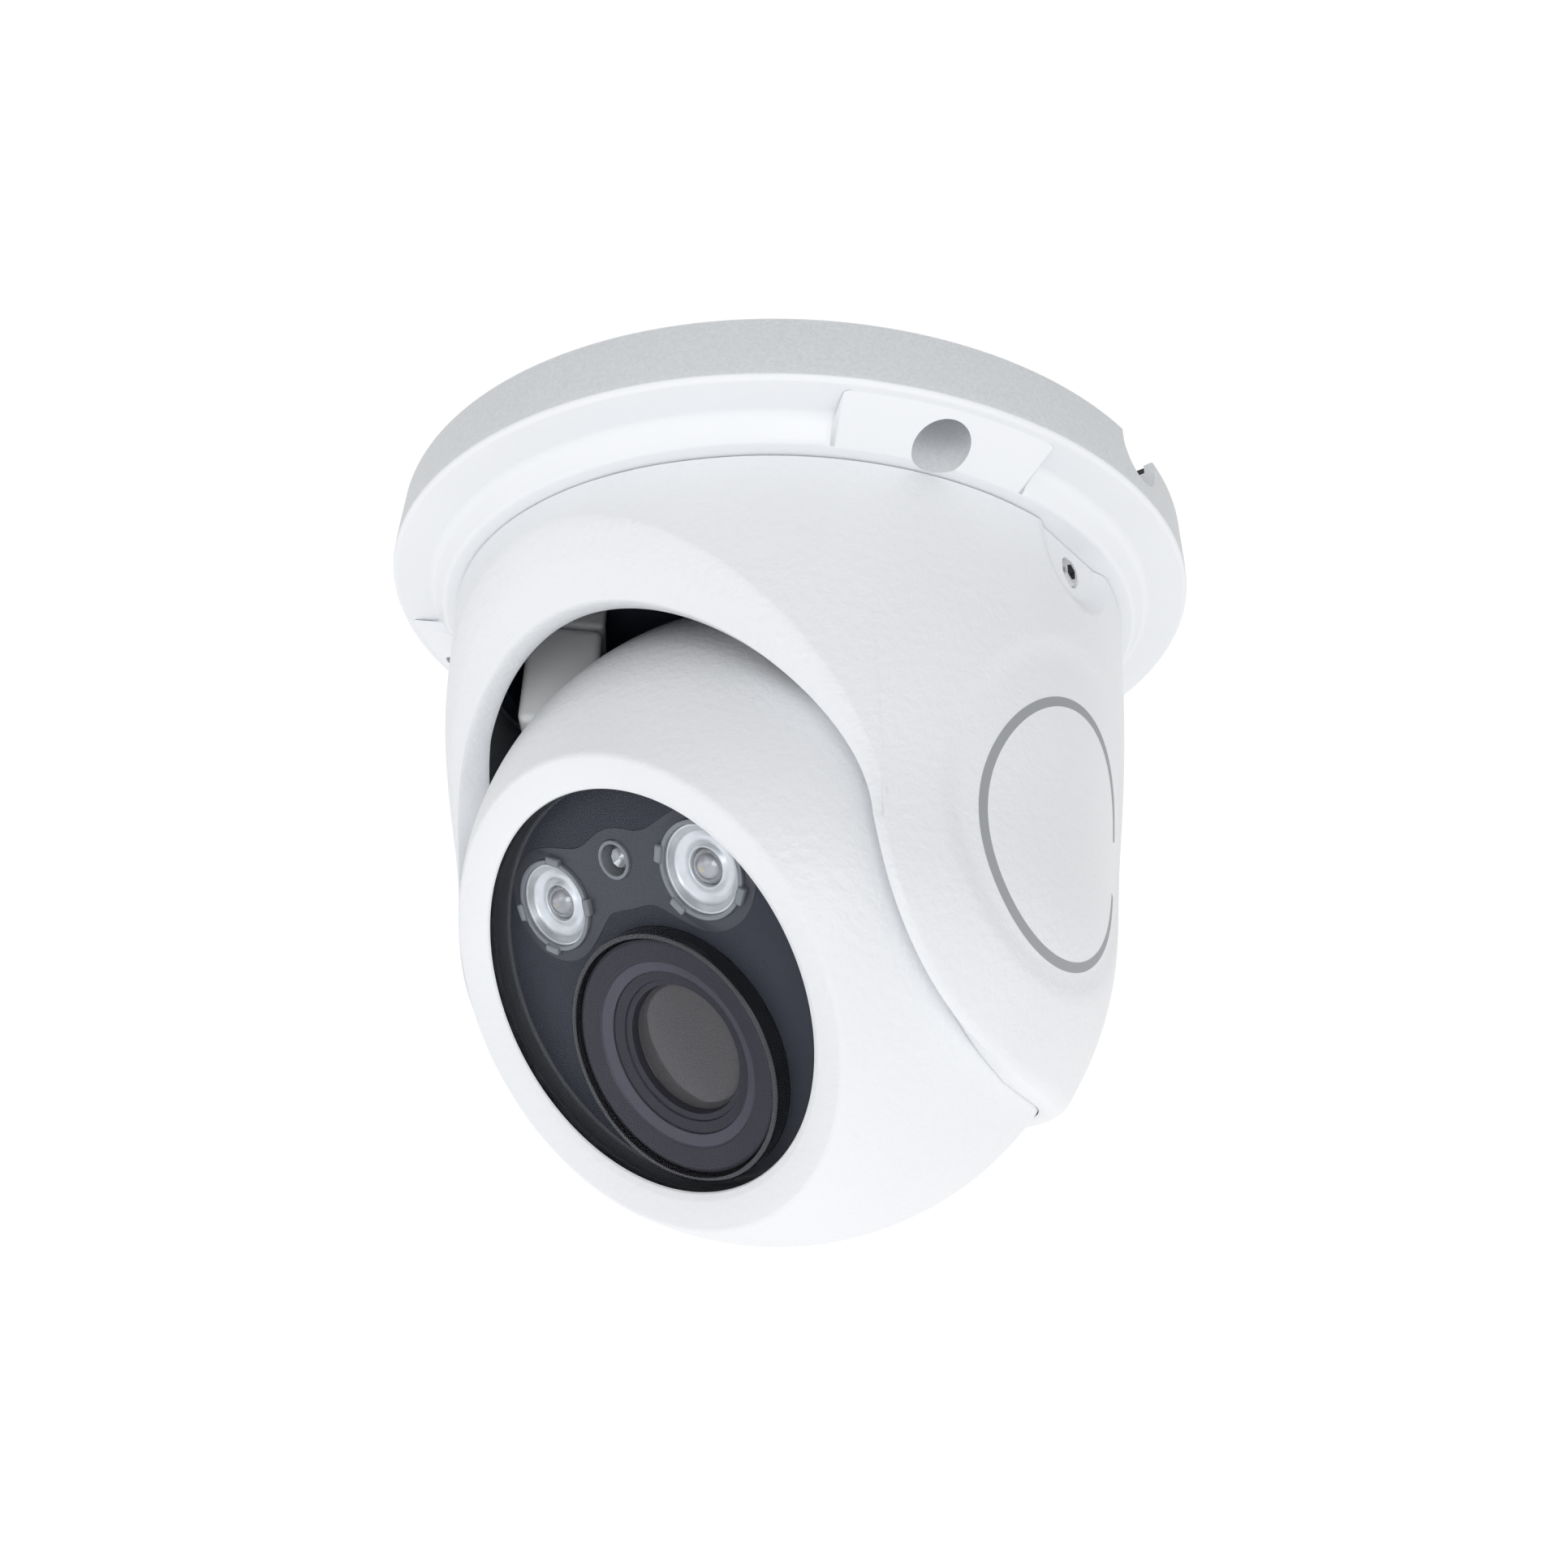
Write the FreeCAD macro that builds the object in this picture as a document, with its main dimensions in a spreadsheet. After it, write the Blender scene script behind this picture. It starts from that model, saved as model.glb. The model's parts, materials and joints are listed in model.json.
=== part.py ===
import FreeCAD, Part
import math
import os

import Sketcher
from FreeCAD import Placement, Rotation, Vector

# A dome camera that hangs under a ceiling. Z is up, the origin is the centre of the ceiling face,
# and the lens looks towards -Y and down. Lengths are in millimetres.
doc = FreeCAD.newDocument("DomeCamera")

SIZES = {
    "mounting base": {
        "base_radius": 60, "wall_height": 8.8, "wall_inner": 55.4, "web_top": 5.8, "edge_round": 0.8,
        "step_outer": 54, "step_inner": 52.4, "ring_drop": 2.9, "collar_outer": 46.4, "collar_inner": 43.6,
        "collar_depth": 7.2, "groove_radius": 45.4, "seal_z": 17.6, "seal_groove": 45.1,
        "fixing_circle": 54, "fixing_radius": 2.3, "recess_radius": 3.5, "boss_radius": 6.4,
        "pad_reach": 58.6, "pad_angle": 27,
        "notch_width": 9, "notch_depth": 6, "cable_hole": 11, "gasket_inner": 56.6, "gasket_outer": 58.4,
        "gasket_depth": 1.2, "post_inner": 28.2, "post_outer": 40.1, "post_width": 13, "post_bottom": 13,
        "pad_length": 16, "pad_screw_radius": 1.25, "pad_screw_circle": 34.6,
    },
    "outer shell": {
        "shell_top": 11.8, "shell_radius": 50.4, "cheek_radius": 47.9, "cheek_z": 48, "cheek_arc": 260,
        "dome_start": 2.5, "dome_outer": 47.2, "dome_inner": 44.9, "rim_depth": 27, "bore_radius": 45.8,
        "seat_radius": 46.55, "seat_depth": 19.4, "arch_half": 38, "arch_height": 30.4, "arch_drop": 1,
        "mouth_half": 40, "bevel_half": 41, "bevel_height": 62, "bevel_inner_y": 44, "bevel_outer_y": 60,
        "dish_radius": 22, "dish_z": 48.5, "dish_depth": 0.5, "pocket_radius": 8.3, "pocket_x": 49.3,
        "set_screw_radius": 2, "set_screw_length": 2.5, "set_screw_z": 15.2, "bushing_radius": 3.4,
        "bushing_inner": 44.7, "bushing_outer": 45.9,
    },
    "ball": {
        "ball_depth": 54, "ball_radius": 44.5, "ball_inner": 41.8, "lens_tilt": 58, "face_plane": 31.2,
        "gap_half": 3.6, "gimbal_half": 3.5, "gimbal_outer": 44.3, "gimbal_inner": 40.5, "neck_radius": 40.4,
        "flange_inner": 35, "flange_half": 6.6, "trunnion_radius": 2, "trunnion_end": 45.7,
        "running_gap": 0.04,
        "seal_radius": 38, "screw_circle": 36.5, "ball_screw_radius": 1.3, "gland_radius": 5,
    },
    "window and face": {
        "window_sight": 26.2, "window_radius": 28, "window_back": 29.3, "window_front": 30.5,
        "dish_face": 27.3, "plate_back": 27.6, "gasket_back": 28.9, "panel_back": 25, "panel_front": 26.5,
        "lens_drop": 9.2, "sleeve_outer": 16.7, "sleeve_inner": 15.9, "lamp_x": 13.5, "lamp_y": 12.8,
        "lamp_radius": 6.3, "lamp_front": 27, "eye_y": 16.6, "eye_radius": 2.6, "board_front": 19.6,
        "board_back": 18, "board_radius": 30,
    },
    "varifocal lens": {
        "hood_radius": 15.6, "tube_outer": 11.5, "tube_inner": 9.8, "tube_back": -9, "element_radius": 8.6,
        "zoom_low": 11.5, "zoom_high": 17.5, "focus_low": 0, "focus_high": 6, "ring_outer": 14,
        "lever_reach": 19.5, "zoom_cell_low": 9, "zoom_cell_high": 15.5, "focus_cell_low": -5,
        "focus_cell_high": 1.5,
    },
    "electronics": {
        "chassis_top": 8.2, "chassis_radius": 38.2, "leg_x": 17, "leg_depth": -17.2, "mount_top": -15.7,
        "filter_top": -9.2, "filter_back": -13.6, "sensor_board": 36, "sensor_front": -18.8,
        "main_board": 33, "main_front": -26, "board_thick": 1.6, "board_hole": 13,
    },
}

sheet = doc.addObject("Spreadsheet::Sheet", "Dims")
ALIASES = []
row = 0
for title, sizes in SIZES.items():
    row += 1
    sheet.set(f"A{row}", title)
    for alias, number in sizes.items():
        row += 1
        sheet.set(f"A{row}", alias)
        sheet.set(f"B{row}", str(number))
        sheet.setAlias(f"B{row}", alias)
        ALIASES.append(alias)
doc.recompute()

# The gauge turns an expression over the sheet into a number for start points and placements.
gauge = doc.addObject("Part::Vertex", "Gauge")


def in_sheet(expression):
    """The expression with each alias pointed at its cell."""
    words = []
    word = ""
    for letter in str(expression) + " ":
        if letter.isalnum() or letter == "_":
            word += letter
            continue
        words.append(f"Dims.{word}" if word in ALIASES else word)
        words.append(letter)
        word = ""
    return "".join(words).strip()


def size(expression):
    """The value of an expression over the sheet."""
    gauge.setExpression("X", in_sheet(expression))
    gauge.recompute()
    return gauge.X.Value


def bind(item, **values):
    """Bind properties of an object to expressions over the sheet."""
    for prop, expression in values.items():
        item.setExpression(prop, in_sheet(expression))
    return item


def place(item, x=0, y=0, z=0, axis=(0, 0, 1), angle=0):
    """Turn an object about an axis and move its origin to a point given by expressions."""
    item.Placement = Placement(Vector(size(x), size(y), size(z)), Rotation(Vector(*axis), angle))
    for letter, expression in (("x", x), ("y", y), ("z", z)):
        item.setExpression(f"Placement.Base.{letter}", in_sheet(expression))
    return item


def cylinder(name, radius, low, high, x=0, y=0):
    """An upright cylinder between two heights."""
    item = bind(doc.addObject("Part::Cylinder", name), Radius=radius, Height=f"({high}) - ({low})")
    return place(item, x, y, low)


def rod(name, radius, start, end, z=0, y=0):
    """A cylinder along X between two distances."""
    item = bind(doc.addObject("Part::Cylinder", name), Radius=radius, Height=f"({end}) - ({start})")
    return place(item, start, y, z, (0, 1, 0), 90)


def tube(name, outer, inner, low, high, x=0, y=0):
    """An upright tube between two heights."""
    inside = cylinder(f"{name}Bore", inner, low, high, x, y)
    return cut(name, cylinder(f"{name}Rod", outer, low, high, x, y), inside)


def box(name, x, y, z, length, width, height):
    """A box from its low corner and its three sides."""
    item = bind(doc.addObject("Part::Box", name), Length=length, Width=width, Height=height)
    return place(item, x, y, z)


def slab(name, half_x, half_y, low, high, x=0, y=0):
    """A box centred on a point, between two heights."""
    return box(name, f"{x} - ({half_x})", f"{y} - ({half_y})", low, f"2 * ({half_x})", f"2 * ({half_y})",
               f"({high}) - ({low})")


def ball(name, radius, z=0, y=0):
    """A sphere on the Z axis, or beside it."""
    return place(bind(doc.addObject("Part::Sphere", name), Radius=radius), 0, y, z)


def fuse(name, *items):
    """One solid from several that overlap."""
    item = doc.addObject("Part::MultiFuse", name)
    item.Shapes = list(items)
    item.Refine = True
    return item


def cut(name, base, *tools):
    """The base less each tool."""
    for number, tool in enumerate(tools):
        item = doc.addObject("Part::Cut", name if number == len(tools) - 1 else f"{name}Less{number}")
        item.Base = base
        item.Tool = tool
        base = item
    return base


def common(name, first, second):
    """What two solids share."""
    item = doc.addObject("Part::MultiCommon", name)
    item.Shapes = [first, second]
    return item


def group(name, items):
    """Several separate solids that make one sub-part."""
    item = doc.addObject("Part::Compound", name)
    item.Links = list(items)
    return item


def copies(name, item, angles):
    """The same solid turned about Z to each angle."""
    turned_items = []
    for number, angle in enumerate(angles):
        twin = doc.addObject("Part::Compound", f"{name}Turn{number}")
        twin.Links = [item]
        twin.Placement = Placement(Vector(), Rotation(Vector(0, 0, 1), angle))
        turned_items.append(twin)
    return turned_items


def outline(body, name, points):
    """A closed sketch on the body's XZ plane. A third value makes the next side an arc of that radius:
    its centre is on the left of the way round, or on the right when the radius is negative."""
    plane = [part for part in body.Origin.OriginFeatures if part.Role == "XZ_Plane"][0]
    sketch = body.newObject("Sketcher::SketchObject", f"{name}Outline")
    sketch.AttachmentSupport = [(plane, "")]
    sketch.MapMode = "FlatFace"
    corners = [Vector(size(point[0]), size(point[1]), 0) for point in points]
    ends = []
    arcs = {}
    for number, point in enumerate(points):
        start = corners[number]
        end = corners[(number + 1) % len(points)]
        if len(point) == 2:
            sketch.addGeometry(Part.LineSegment(start, end), False)
            ends.append((1, 2))
            continue
        radius = size(point[2])
        half = (end - start) * 0.5
        left = Vector(-half.y, half.x, 0).normalize() * math.copysign(1, radius)
        centre = start + half + left * math.sqrt(radius ** 2 - half.Length ** 2)
        angles = [math.atan2(corner.y - centre.y, corner.x - centre.x) for corner in (start, end)]
        if radius < 0:
            angles.reverse()
        circle = Part.Circle(centre, Vector(0, 0, 1), abs(radius))
        sketch.addGeometry(Part.ArcOfCircle(circle, *angles), False)
        ends.append((1, 2) if radius > 0 else (2, 1))
        arcs[number] = point[2]
    for number in range(len(points)):
        following = (number + 1) % len(points)
        sketch.addConstraint(
            Sketcher.Constraint("Coincident", number, ends[number][1], following, ends[following][0]))
    for number, point in enumerate(points):
        for letter, kind, expression in (("x", "DistanceX", point[0]), ("z", "DistanceY", point[1])):
            constraint = Sketcher.Constraint(kind, -1, 1, number, ends[number][0], size(expression))
            sketch.renameConstraint(sketch.addConstraint(constraint), f"{letter}{number}")
            sketch.setExpression(f"Constraints.{letter}{number}", in_sheet(expression))
    for number, expression in arcs.items():
        constraint = Sketcher.Constraint("Radius", number, abs(size(expression)))
        sketch.renameConstraint(sketch.addConstraint(constraint), f"radius{number}")
        sketch.setExpression(f"Constraints.radius{number}", in_sheet(f"abs({expression})"))
    return sketch


def turned(name, points):
    """A body turned about Z from an outline of radius and height."""
    body = doc.addObject("PartDesign::Body", name)
    sketch = outline(body, name, points)
    feature = body.newObject("PartDesign::Revolution", f"{name}Revolution")
    feature.Profile = sketch
    feature.ReferenceAxis = (sketch, ["V_Axis"])
    feature.Angle = 360
    return body


def padded(name, points, depth):
    """A body with an outline in X and Z, padded to both sides of the XZ plane."""
    body = doc.addObject("PartDesign::Body", name)
    feature = body.newObject("PartDesign::Pad", f"{name}Pad")
    feature.Profile = outline(body, name, points)
    feature.Midplane = True
    feature.setExpression("Length", in_sheet(depth))
    return body


def stepped(name, steps):
    """A body turned from a list of (radius, low, high) outer steps of a solid of revolution."""
    points = [("0", steps[0][1])]
    for radius, low, high in steps:
        points += [(radius, low), (radius, high)]
    points.append(("0", steps[-1][2]))
    return turned(name, points)


# Each sub-part is kept as (node, object), and one loop at the end checks and writes them all.
SUBPARTS = []
AT_BASE = Placement()
AT_BALL = Placement(Vector(0, 0, -size("ball_depth")),
                    Rotation(Vector(1, 0, 0), 180 - size("lens_tilt")))
AT_LENS = AT_BALL * Placement(Vector(0, -size("lens_drop"), 0), Rotation())


def keep(node, item, where):
    """Give a sub-part its name and its place in the camera's frame."""
    if any("Placement" in path for path, _ in item.ExpressionEngine):
        item = group(f"{item.Name}Placed", [item])
    item.Label = node
    item.Placement = where * item.Placement
    SUBPARTS.append((node, item))


FIXING_ANGLES = (60, 180, 300)  # about Z from -Y: two holes beside the front and one at the back
POST_ANGLES = (-43, 43, 180)    # about Z from -Y


# ---------------------------------------------------------------- mounting base and what it carries
def mounting_base():
    """A cast disc: a side wall, a web, a stepped underside with three sloped pads, a collar and posts."""
    ring_bottom = "-wall_height - ring_drop"
    disc = turned("BaseDisc", [
        ("cable_hole", "-wall_height"), ("cable_hole", "-web_top"), ("wall_inner", "-web_top"),
        ("wall_inner", "0"), ("base_radius - 0.3", "0"), ("base_radius", "-wall_height + edge_round"),
        ("base_radius - edge_round", "-wall_height"), ("step_outer", "-wall_height"),
        ("step_inner", ring_bottom), ("collar_outer", ring_bottom),
        ("collar_outer", "-set_screw_z + 1"), ("groove_radius", "-set_screw_z + 0.4"),
        ("groove_radius", "-set_screw_z - 0.4"), ("collar_outer", "-set_screw_z - 1"),
        ("collar_outer", "-seal_z + 0.7"), ("seal_groove", "-seal_z + 0.7"),
        ("seal_groove", "-seal_z - 0.7"), ("collar_outer", "-seal_z - 0.7"),
        ("collar_outer", f"{ring_bottom} - collar_depth"), ("collar_inner", f"{ring_bottom} - collar_depth"),
        ("collar_inner", "-wall_height")])
    pieces = [disc]
    pad_band = turned("PadBand", [("step_inner - 0.5", ring_bottom), ("pad_reach", "-wall_height + 0.05"),
                                  ("pad_reach", "-web_top"), ("step_inner - 0.5", "-web_top")])
    wedge = bind(doc.addObject("Part::Cylinder", "PadWedge"), Radius="base_radius", Height="20",
                 Angle="pad_angle")
    place(wedge, z=ring_bottom, angle=-90 - size("pad_angle") / 2)
    pad = common("ScrewPad", pad_band, wedge)
    boss = cylinder("ScrewBoss", "boss_radius", "-wall_height", "0", y="-fixing_circle")
    bosses = common("BossInside", boss, cylinder("BossLimit", "base_radius - 1", "-wall_height", "0"))
    post = box("Post", "-post_width / 2", "-post_outer", "-post_bottom", "post_width",
               "post_outer - post_inner", "post_bottom - web_top - 1")
    pieces += copies("ScrewPads", pad, FIXING_ANGLES)
    pieces += copies("ScrewBosses", bosses, FIXING_ANGLES)
    pieces += copies("Posts", post, POST_ANGLES)
    hole = cylinder("FixingHole", "fixing_radius", "-20", "5", y="-fixing_circle")
    recess = cylinder("FixingRecess", "recess_radius", "-20", "-3.2", y="-fixing_circle")
    tools = copies("FixingHoles", fuse("FixingTool", hole, recess), FIXING_ANGLES)
    tools.append(box("NotchBox", "50", "-notch_width / 2", "-notch_depth + notch_width / 3", "20",
                     "notch_width", "20"))
    tools.append(rod("NotchRound", "notch_width / 2", "50", "70", "-notch_depth + notch_width / 2"))
    tools.append(tube("GasketGroove", "gasket_outer", "gasket_inner", "-gasket_depth", "5"))
    screw = cylinder("PadScrewHole", "pad_screw_radius", "-20", "5", y="-pad_screw_circle")
    tools += copies("PadScrewHoles", screw, POST_ANGLES)
    return cut("MountingBase", fuse("BaseCasting", *pieces), *tools)


def base_gasket():
    """A soft seal in the ceiling face, open at the cable notch."""
    ring = tube("GasketRing", "gasket_outer", "gasket_inner", "-gasket_depth", "0")
    return cut("BaseGasket", ring, box("GasketGap", "50", "-notch_width / 2 - 0.5", "-5", "20",
                                       "notch_width + 1", "10"))


def friction_pads():
    """Three nylon blocks under the posts, hollowed to the ball."""
    block = box("PadBlock", "-post_width / 2 + 0.4", "-post_outer + 0.6", "-post_bottom - pad_length",
                "post_width - 0.8", "post_outer - post_inner - 0.9", "pad_length - 0.2")
    hollow = ball("PadHollow", "ball_radius + running_gap", "-ball_depth")
    bore = cylinder("PadBore", "pad_screw_radius", "-40", "0", y="-pad_screw_circle")
    pad = cut("FrictionPad", block, hollow, bore)
    return group("FrictionPads", copies("Pads", pad, POST_ANGLES))


def pad_screws():
    """Pan-head screws through the web into the friction pads."""
    screw = stepped("PadScrew", [("pad_screw_radius", "-post_bottom - 5.5", "-web_top"),
                                 ("2.4", "-web_top", "-web_top + 1.6")])
    slot = box("PadScrewSlot", "-0.3", "-2", "-web_top + 0.9", "0.6", "4", "2")
    slotted = cut("PadScrewSlotted", screw, slot)
    placed = place(group("PadScrewPlaced", [slotted]), y="-pad_screw_circle")
    return group("PadScrews", copies("PadScrewSet", placed, POST_ANGLES))


def collar_seal():
    """An O-ring around the collar, just clear of the shell that turns on it."""
    ring = doc.addObject("Part::Torus", "CollarSeal")
    bind(ring, Radius1="seal_groove + 0.7", Radius2="0.65")
    return place(ring, z="-seal_z")


def cable_grommet():
    """A rubber grommet that lines the cable hole in the web."""
    return turned("CableGrommet", [
        ("cable_hole - 2.6", "-web_top + 1.2"), ("cable_hole - 2.6", "-wall_height"),
        ("cable_hole", "-wall_height"), ("cable_hole", "-web_top"), ("cable_hole + 2", "-web_top"),
        ("cable_hole + 1.4", "-web_top + 1.2")])


keep("mounting_base", mounting_base(), AT_BASE)
keep("base_gasket", base_gasket(), AT_BASE)
keep("friction_pads", friction_pads(), AT_BASE)
keep("pad_screws", pad_screws(), AT_BASE)
keep("collar_seal", collar_seal(), AT_BASE)
keep("cable_grommet", cable_grommet(), AT_BASE)


# ---------------------------------------------------------------- outer shell, which pans
def arch_cutter():
    """The opening for the ball: an upright half-ellipse on straight sides, open to the rim."""
    sides = padded("MouthSides", [
        ("-arch_half", "-ball_depth - arch_drop"), ("-mouth_half", "-ball_depth - rim_depth"),
        ("-mouth_half", "-100"), ("mouth_half", "-100"), ("mouth_half", "-ball_depth - rim_depth"),
        ("arch_half", "-ball_depth - arch_drop")], "140")
    sides_front = common("MouthFront", sides, box("FrontHalf", "-70", "-80", "-120", "140", "80 + 3", "130"))
    arcs = []
    for name, half, height, depth in (("ArchInner", "arch_half", "arch_height", "-bevel_inner_y"),
                                      ("ArchOuter", "bevel_half", "bevel_height", "-bevel_outer_y")):
        oval = doc.addObject("Part::Ellipse", name)
        wide_first = size(half) > size(height)
        bind(oval, MajorRadius=half if wide_first else height, MinorRadius=height if wide_first else half)
        turn = Rotation(Vector(1, 0, 0), 90)
        if not wide_first:
            turn = turn * Rotation(Vector(0, 0, 1), 90)
        oval.Placement = Placement(Vector(0, size(depth), -size("ball_depth + arch_drop")), turn)
        arcs.append(oval)
    bevel = doc.addObject("Part::Loft", "ArchBevel")
    bevel.Sections = arcs
    bevel.Solid = True
    bevel.Ruled = True
    passage = doc.addObject("Part::Extrusion", "ArchPassage")
    passage.Base = arcs[0]
    passage.DirMode = "Custom"
    passage.Dir = Vector(0, 1, 0)
    passage.LengthFwd = size("bevel_inner_y + 2")
    passage.Solid = True
    return [sides_front, bevel, passage]


def outer_shell():
    """The cover that pans: a turned shell with a hood arch, two dished cheeks and two screw pockets."""
    rim_z = "-ball_depth - rim_depth"
    wall = turned("ShellWall", [
        ("seat_radius", "-shell_top"), ("seat_radius", "-seat_depth"), ("bore_radius", "-seat_depth - 1.2"),
        ("dome_inner", "-ball_depth", "-dome_inner"), ("sqrt(dome_inner^2 - rim_depth^2)", rim_z),
        ("sqrt(dome_outer^2 - rim_depth^2)", rim_z, "dome_outer"),
        ("sqrt(dome_outer^2 - dome_start^2)", "-ball_depth - dome_start"), ("cheek_radius", "-cheek_z",
                                                                           "cheek_arc"),
        ("shell_radius", "-shell_top")])
    skin = turned("DishSkin", [
        ("dome_outer - dish_depth", "-ball_depth - 22"), ("dome_outer - dish_depth", "-ball_depth"),
        ("cheek_radius - dish_depth", "-cheek_z", "cheek_arc"), ("shell_radius - dish_depth - 0.4", "-22"),
        ("70", "-22"), ("70", "-ball_depth - 22")])
    tools = arch_cutter()
    for side, angle in (("Right", 0), ("Left", 180)):
        dish = rod(f"Dish{side}", "dish_radius", "20", "70", "-dish_z")
        pocket = rod(f"Pocket{side}", "pocket_radius", "pocket_x", "60", "-shell_top")
        hole = rod(f"ScrewHole{side}", "set_screw_radius", "40", "60", "-set_screw_z")
        seat = rod(f"BushingSeat{side}", "bushing_radius", "40", "bushing_outer", "-ball_depth")
        shallow = common(f"ShallowDish{side}", dish, skin)
        tool_set = group(f"SideTools{side}", [fuse(f"SideCuts{side}", shallow, pocket, hole, seat)])
        tool_set.Placement = Placement(Vector(), Rotation(Vector(0, 0, 1), angle))
        tools.append(tool_set)
    return cut("OuterShell", wall, *tools)


def both_sides(name, item):
    """A solid and its twin on the other side of the camera."""
    return group(name, copies(f"{name}Side", item, (0, 180)))


def set_screws():
    """Socket set screws that lock the shell on the collar."""
    end = "pocket_x - 0.3"
    body = rod("SetScrewRod", "set_screw_radius", f"{end} - set_screw_length", end, "-set_screw_z")
    socket = rod("SetScrewSocket", "1", f"{end} - 1.6", "60", "-set_screw_z")
    return both_sides("SetScrews", cut("SetScrew", body, socket))


def trunnion_bushings():
    """Nylon bushings in the cheeks that carry the gimbal's trunnions."""
    body = rod("BushingRod", "bushing_radius", "bushing_inner", "bushing_outer", "-ball_depth")
    bore = rod("BushingBore", "trunnion_radius + running_gap", "40", "60", "-ball_depth")
    return both_sides("TrunnionBushings", cut("Bushing", body, bore))


keep("outer_shell", outer_shell(), AT_BASE)
keep("set_screws", set_screws(), AT_BASE)
keep("trunnion_bushings", trunnion_bushings(), AT_BASE)


# ---------------------------------------------------------------- gimbal, which tilts
def gimbal_ring():
    """A ring in the ball's groove, flush with the ball, in which the ball rolls."""
    ring = tube("GimbalTube", "gimbal_outer", "gimbal_inner", "-gimbal_half", "gimbal_half")
    return cut("GimbalRing", ring, rod("TrunnionHoles", "trunnion_radius", "-60", "60"))


def trunnion_pins():
    """Two pins pressed into the gimbal ring."""
    pin = rod("TrunnionPin", "trunnion_radius", "gimbal_inner + 0.3", "trunnion_end")
    return both_sides("TrunnionPins", pin)


keep("gimbal_ring", gimbal_ring(), AT_BALL)
keep("trunnion_pins", trunnion_pins(), AT_BALL)


# ---------------------------------------------------------------- ball, which rolls about the lens axis
SCREW_ANGLES = (90, 210, 330)


def half_ball(name, side):
    """The wall of the ball from the gimbal gap outwards, with its flange. side is 1 in front, -1 behind."""
    low, high = ("gap_half", "50") if side > 0 else ("-50", "-gap_half")
    wall = common(f"{name}Cap", ball(f"{name}Outer", "ball_radius"),
                  cylinder(f"{name}Limit", "60", low, high))
    hollow = cut(f"{name}Wall", wall, ball(f"{name}Inner", "ball_inner"))
    face, step, top = (f"{side} * {height}" for height in ("0", "gap_half", "flange_half"))
    flange = turned(f"{name}Flange", [
        ("flange_inner", face), ("neck_radius", face), ("neck_radius", step),
        ("ball_inner + 0.5", step), ("ball_inner + 0.5", top), ("flange_inner", top)])
    return hollow, flange


def ball_front():
    """The front half of the ball, cut flat for the bezel, with the window seat."""
    hollow, flange = half_ball("Front", 1)
    sight = "window_sight"
    bezel = common("BezelInBall", ball("BezelBall", "ball_radius"), turned("Bezel", [
        ("window_radius + 0.1", "plate_back"), ("40", "plate_back"), ("40", "face_plane"),
        ("dish_face", "face_plane"), (sight, "face_plane - 0.4"), (sight, "window_front"),
        ("window_radius + 0.1", "window_front")]))
    trimmed = common("FrontTrimmed", hollow, cylinder("FacePlane", "60", "0", "face_plane"))
    opening = cylinder("BezelOpening", "window_radius + 0.1", "10", "window_front")
    sight_hole = cylinder("SightHole", sight, "10", "60")
    whole = fuse("FrontWhole", cut("FrontOpened", trimmed, opening, sight_hole), bezel, flange)
    thread = cylinder("FrontThread", "ball_screw_radius", "-1", "5", x="screw_circle")
    threads = copies("FrontThreads", thread, SCREW_ANGLES)
    pegs = copies("ChassisHoles", cylinder("ChassisHole", "1", "1.5", "10", x="screw_circle"),
                  [angle + 60 for angle in SCREW_ANGLES])
    return cut("BallFront", whole, seal_groove("FrontGroove"), *threads, *pegs)


def seal_groove(name):
    """The groove for the seal between the halves."""
    return tube(name, "seal_radius + 0.9", "seal_radius + 0.1", "-0.5", "0.5")


def ball_rear():
    """The rear half of the ball, with three screw channels and the cable gland's hole."""
    hollow, flange = half_ball("Rear", -1)
    channel = common("ScrewChannel", ball("ChannelBall", "ball_radius - 0.5"),
                     cylinder("ChannelRod", "4.4", "-45", "-6", x="screw_circle - 1"))
    channels = copies("ScrewChannels", channel, SCREW_ANGLES)
    tools = copies("HeadHoles", cylinder("HeadHole", "2.9", "-60", "-6.6", x="screw_circle"), SCREW_ANGLES)
    tools += copies("ShankHoles", cylinder("ShankHole", "ball_screw_radius", "-60", "1", x="screw_circle"),
                    SCREW_ANGLES)
    tools.append(cylinder("GlandHole", "gland_radius", "-60", "-30"))
    tools.append(seal_groove("RearGroove"))
    whole = fuse("RearWhole", hollow, flange, *channels)
    return cut("BallRear", whole, *tools)


def ball_seal():
    """A flat rubber ring between the two halves."""
    return seal_groove("BallSeal")


def ball_screws():
    """Three screws that join the halves from behind."""
    screw = stepped("BallScrew", [("2.6", "-9.1", "-6.6"), ("ball_screw_radius", "-6.6", "4.8")])
    socket = cylinder("BallScrewSocket", "1.1", "-12", "-7.8")
    placed = place(group("BallScrewPlaced", [cut("BallScrewCut", screw, socket)]), x="screw_circle")
    return group("BallScrews", copies("BallScrewSet", placed, SCREW_ANGLES))


def cable_gland():
    """A gland with a closed membrane in the ball's rear pole."""
    return turned("CableGland", [
        ("0", "-ball_inner - 0.4"), ("gland_radius - 1.6", "-ball_inner - 0.4"),
        ("gland_radius - 1.6", "-ball_radius + 0.4"), ("gland_radius", "-ball_radius + 0.5"),
        ("gland_radius", "-41.1"), ("gland_radius + 1.8", "-41.1"), ("gland_radius + 1.8", "-39.6"),
        ("0", "-39.6")])


def front_window():
    """The flat clear window."""
    return turned("FrontWindow", [
        ("0", "window_back"), ("window_radius", "window_back"), ("window_radius", "window_front"),
        ("0", "window_front")])


def window_gasket():
    """A flat rubber ring behind the window's rim."""
    return tube("WindowGasket", "window_radius", "window_sight + 0.5", "gasket_back", "window_back")


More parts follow.
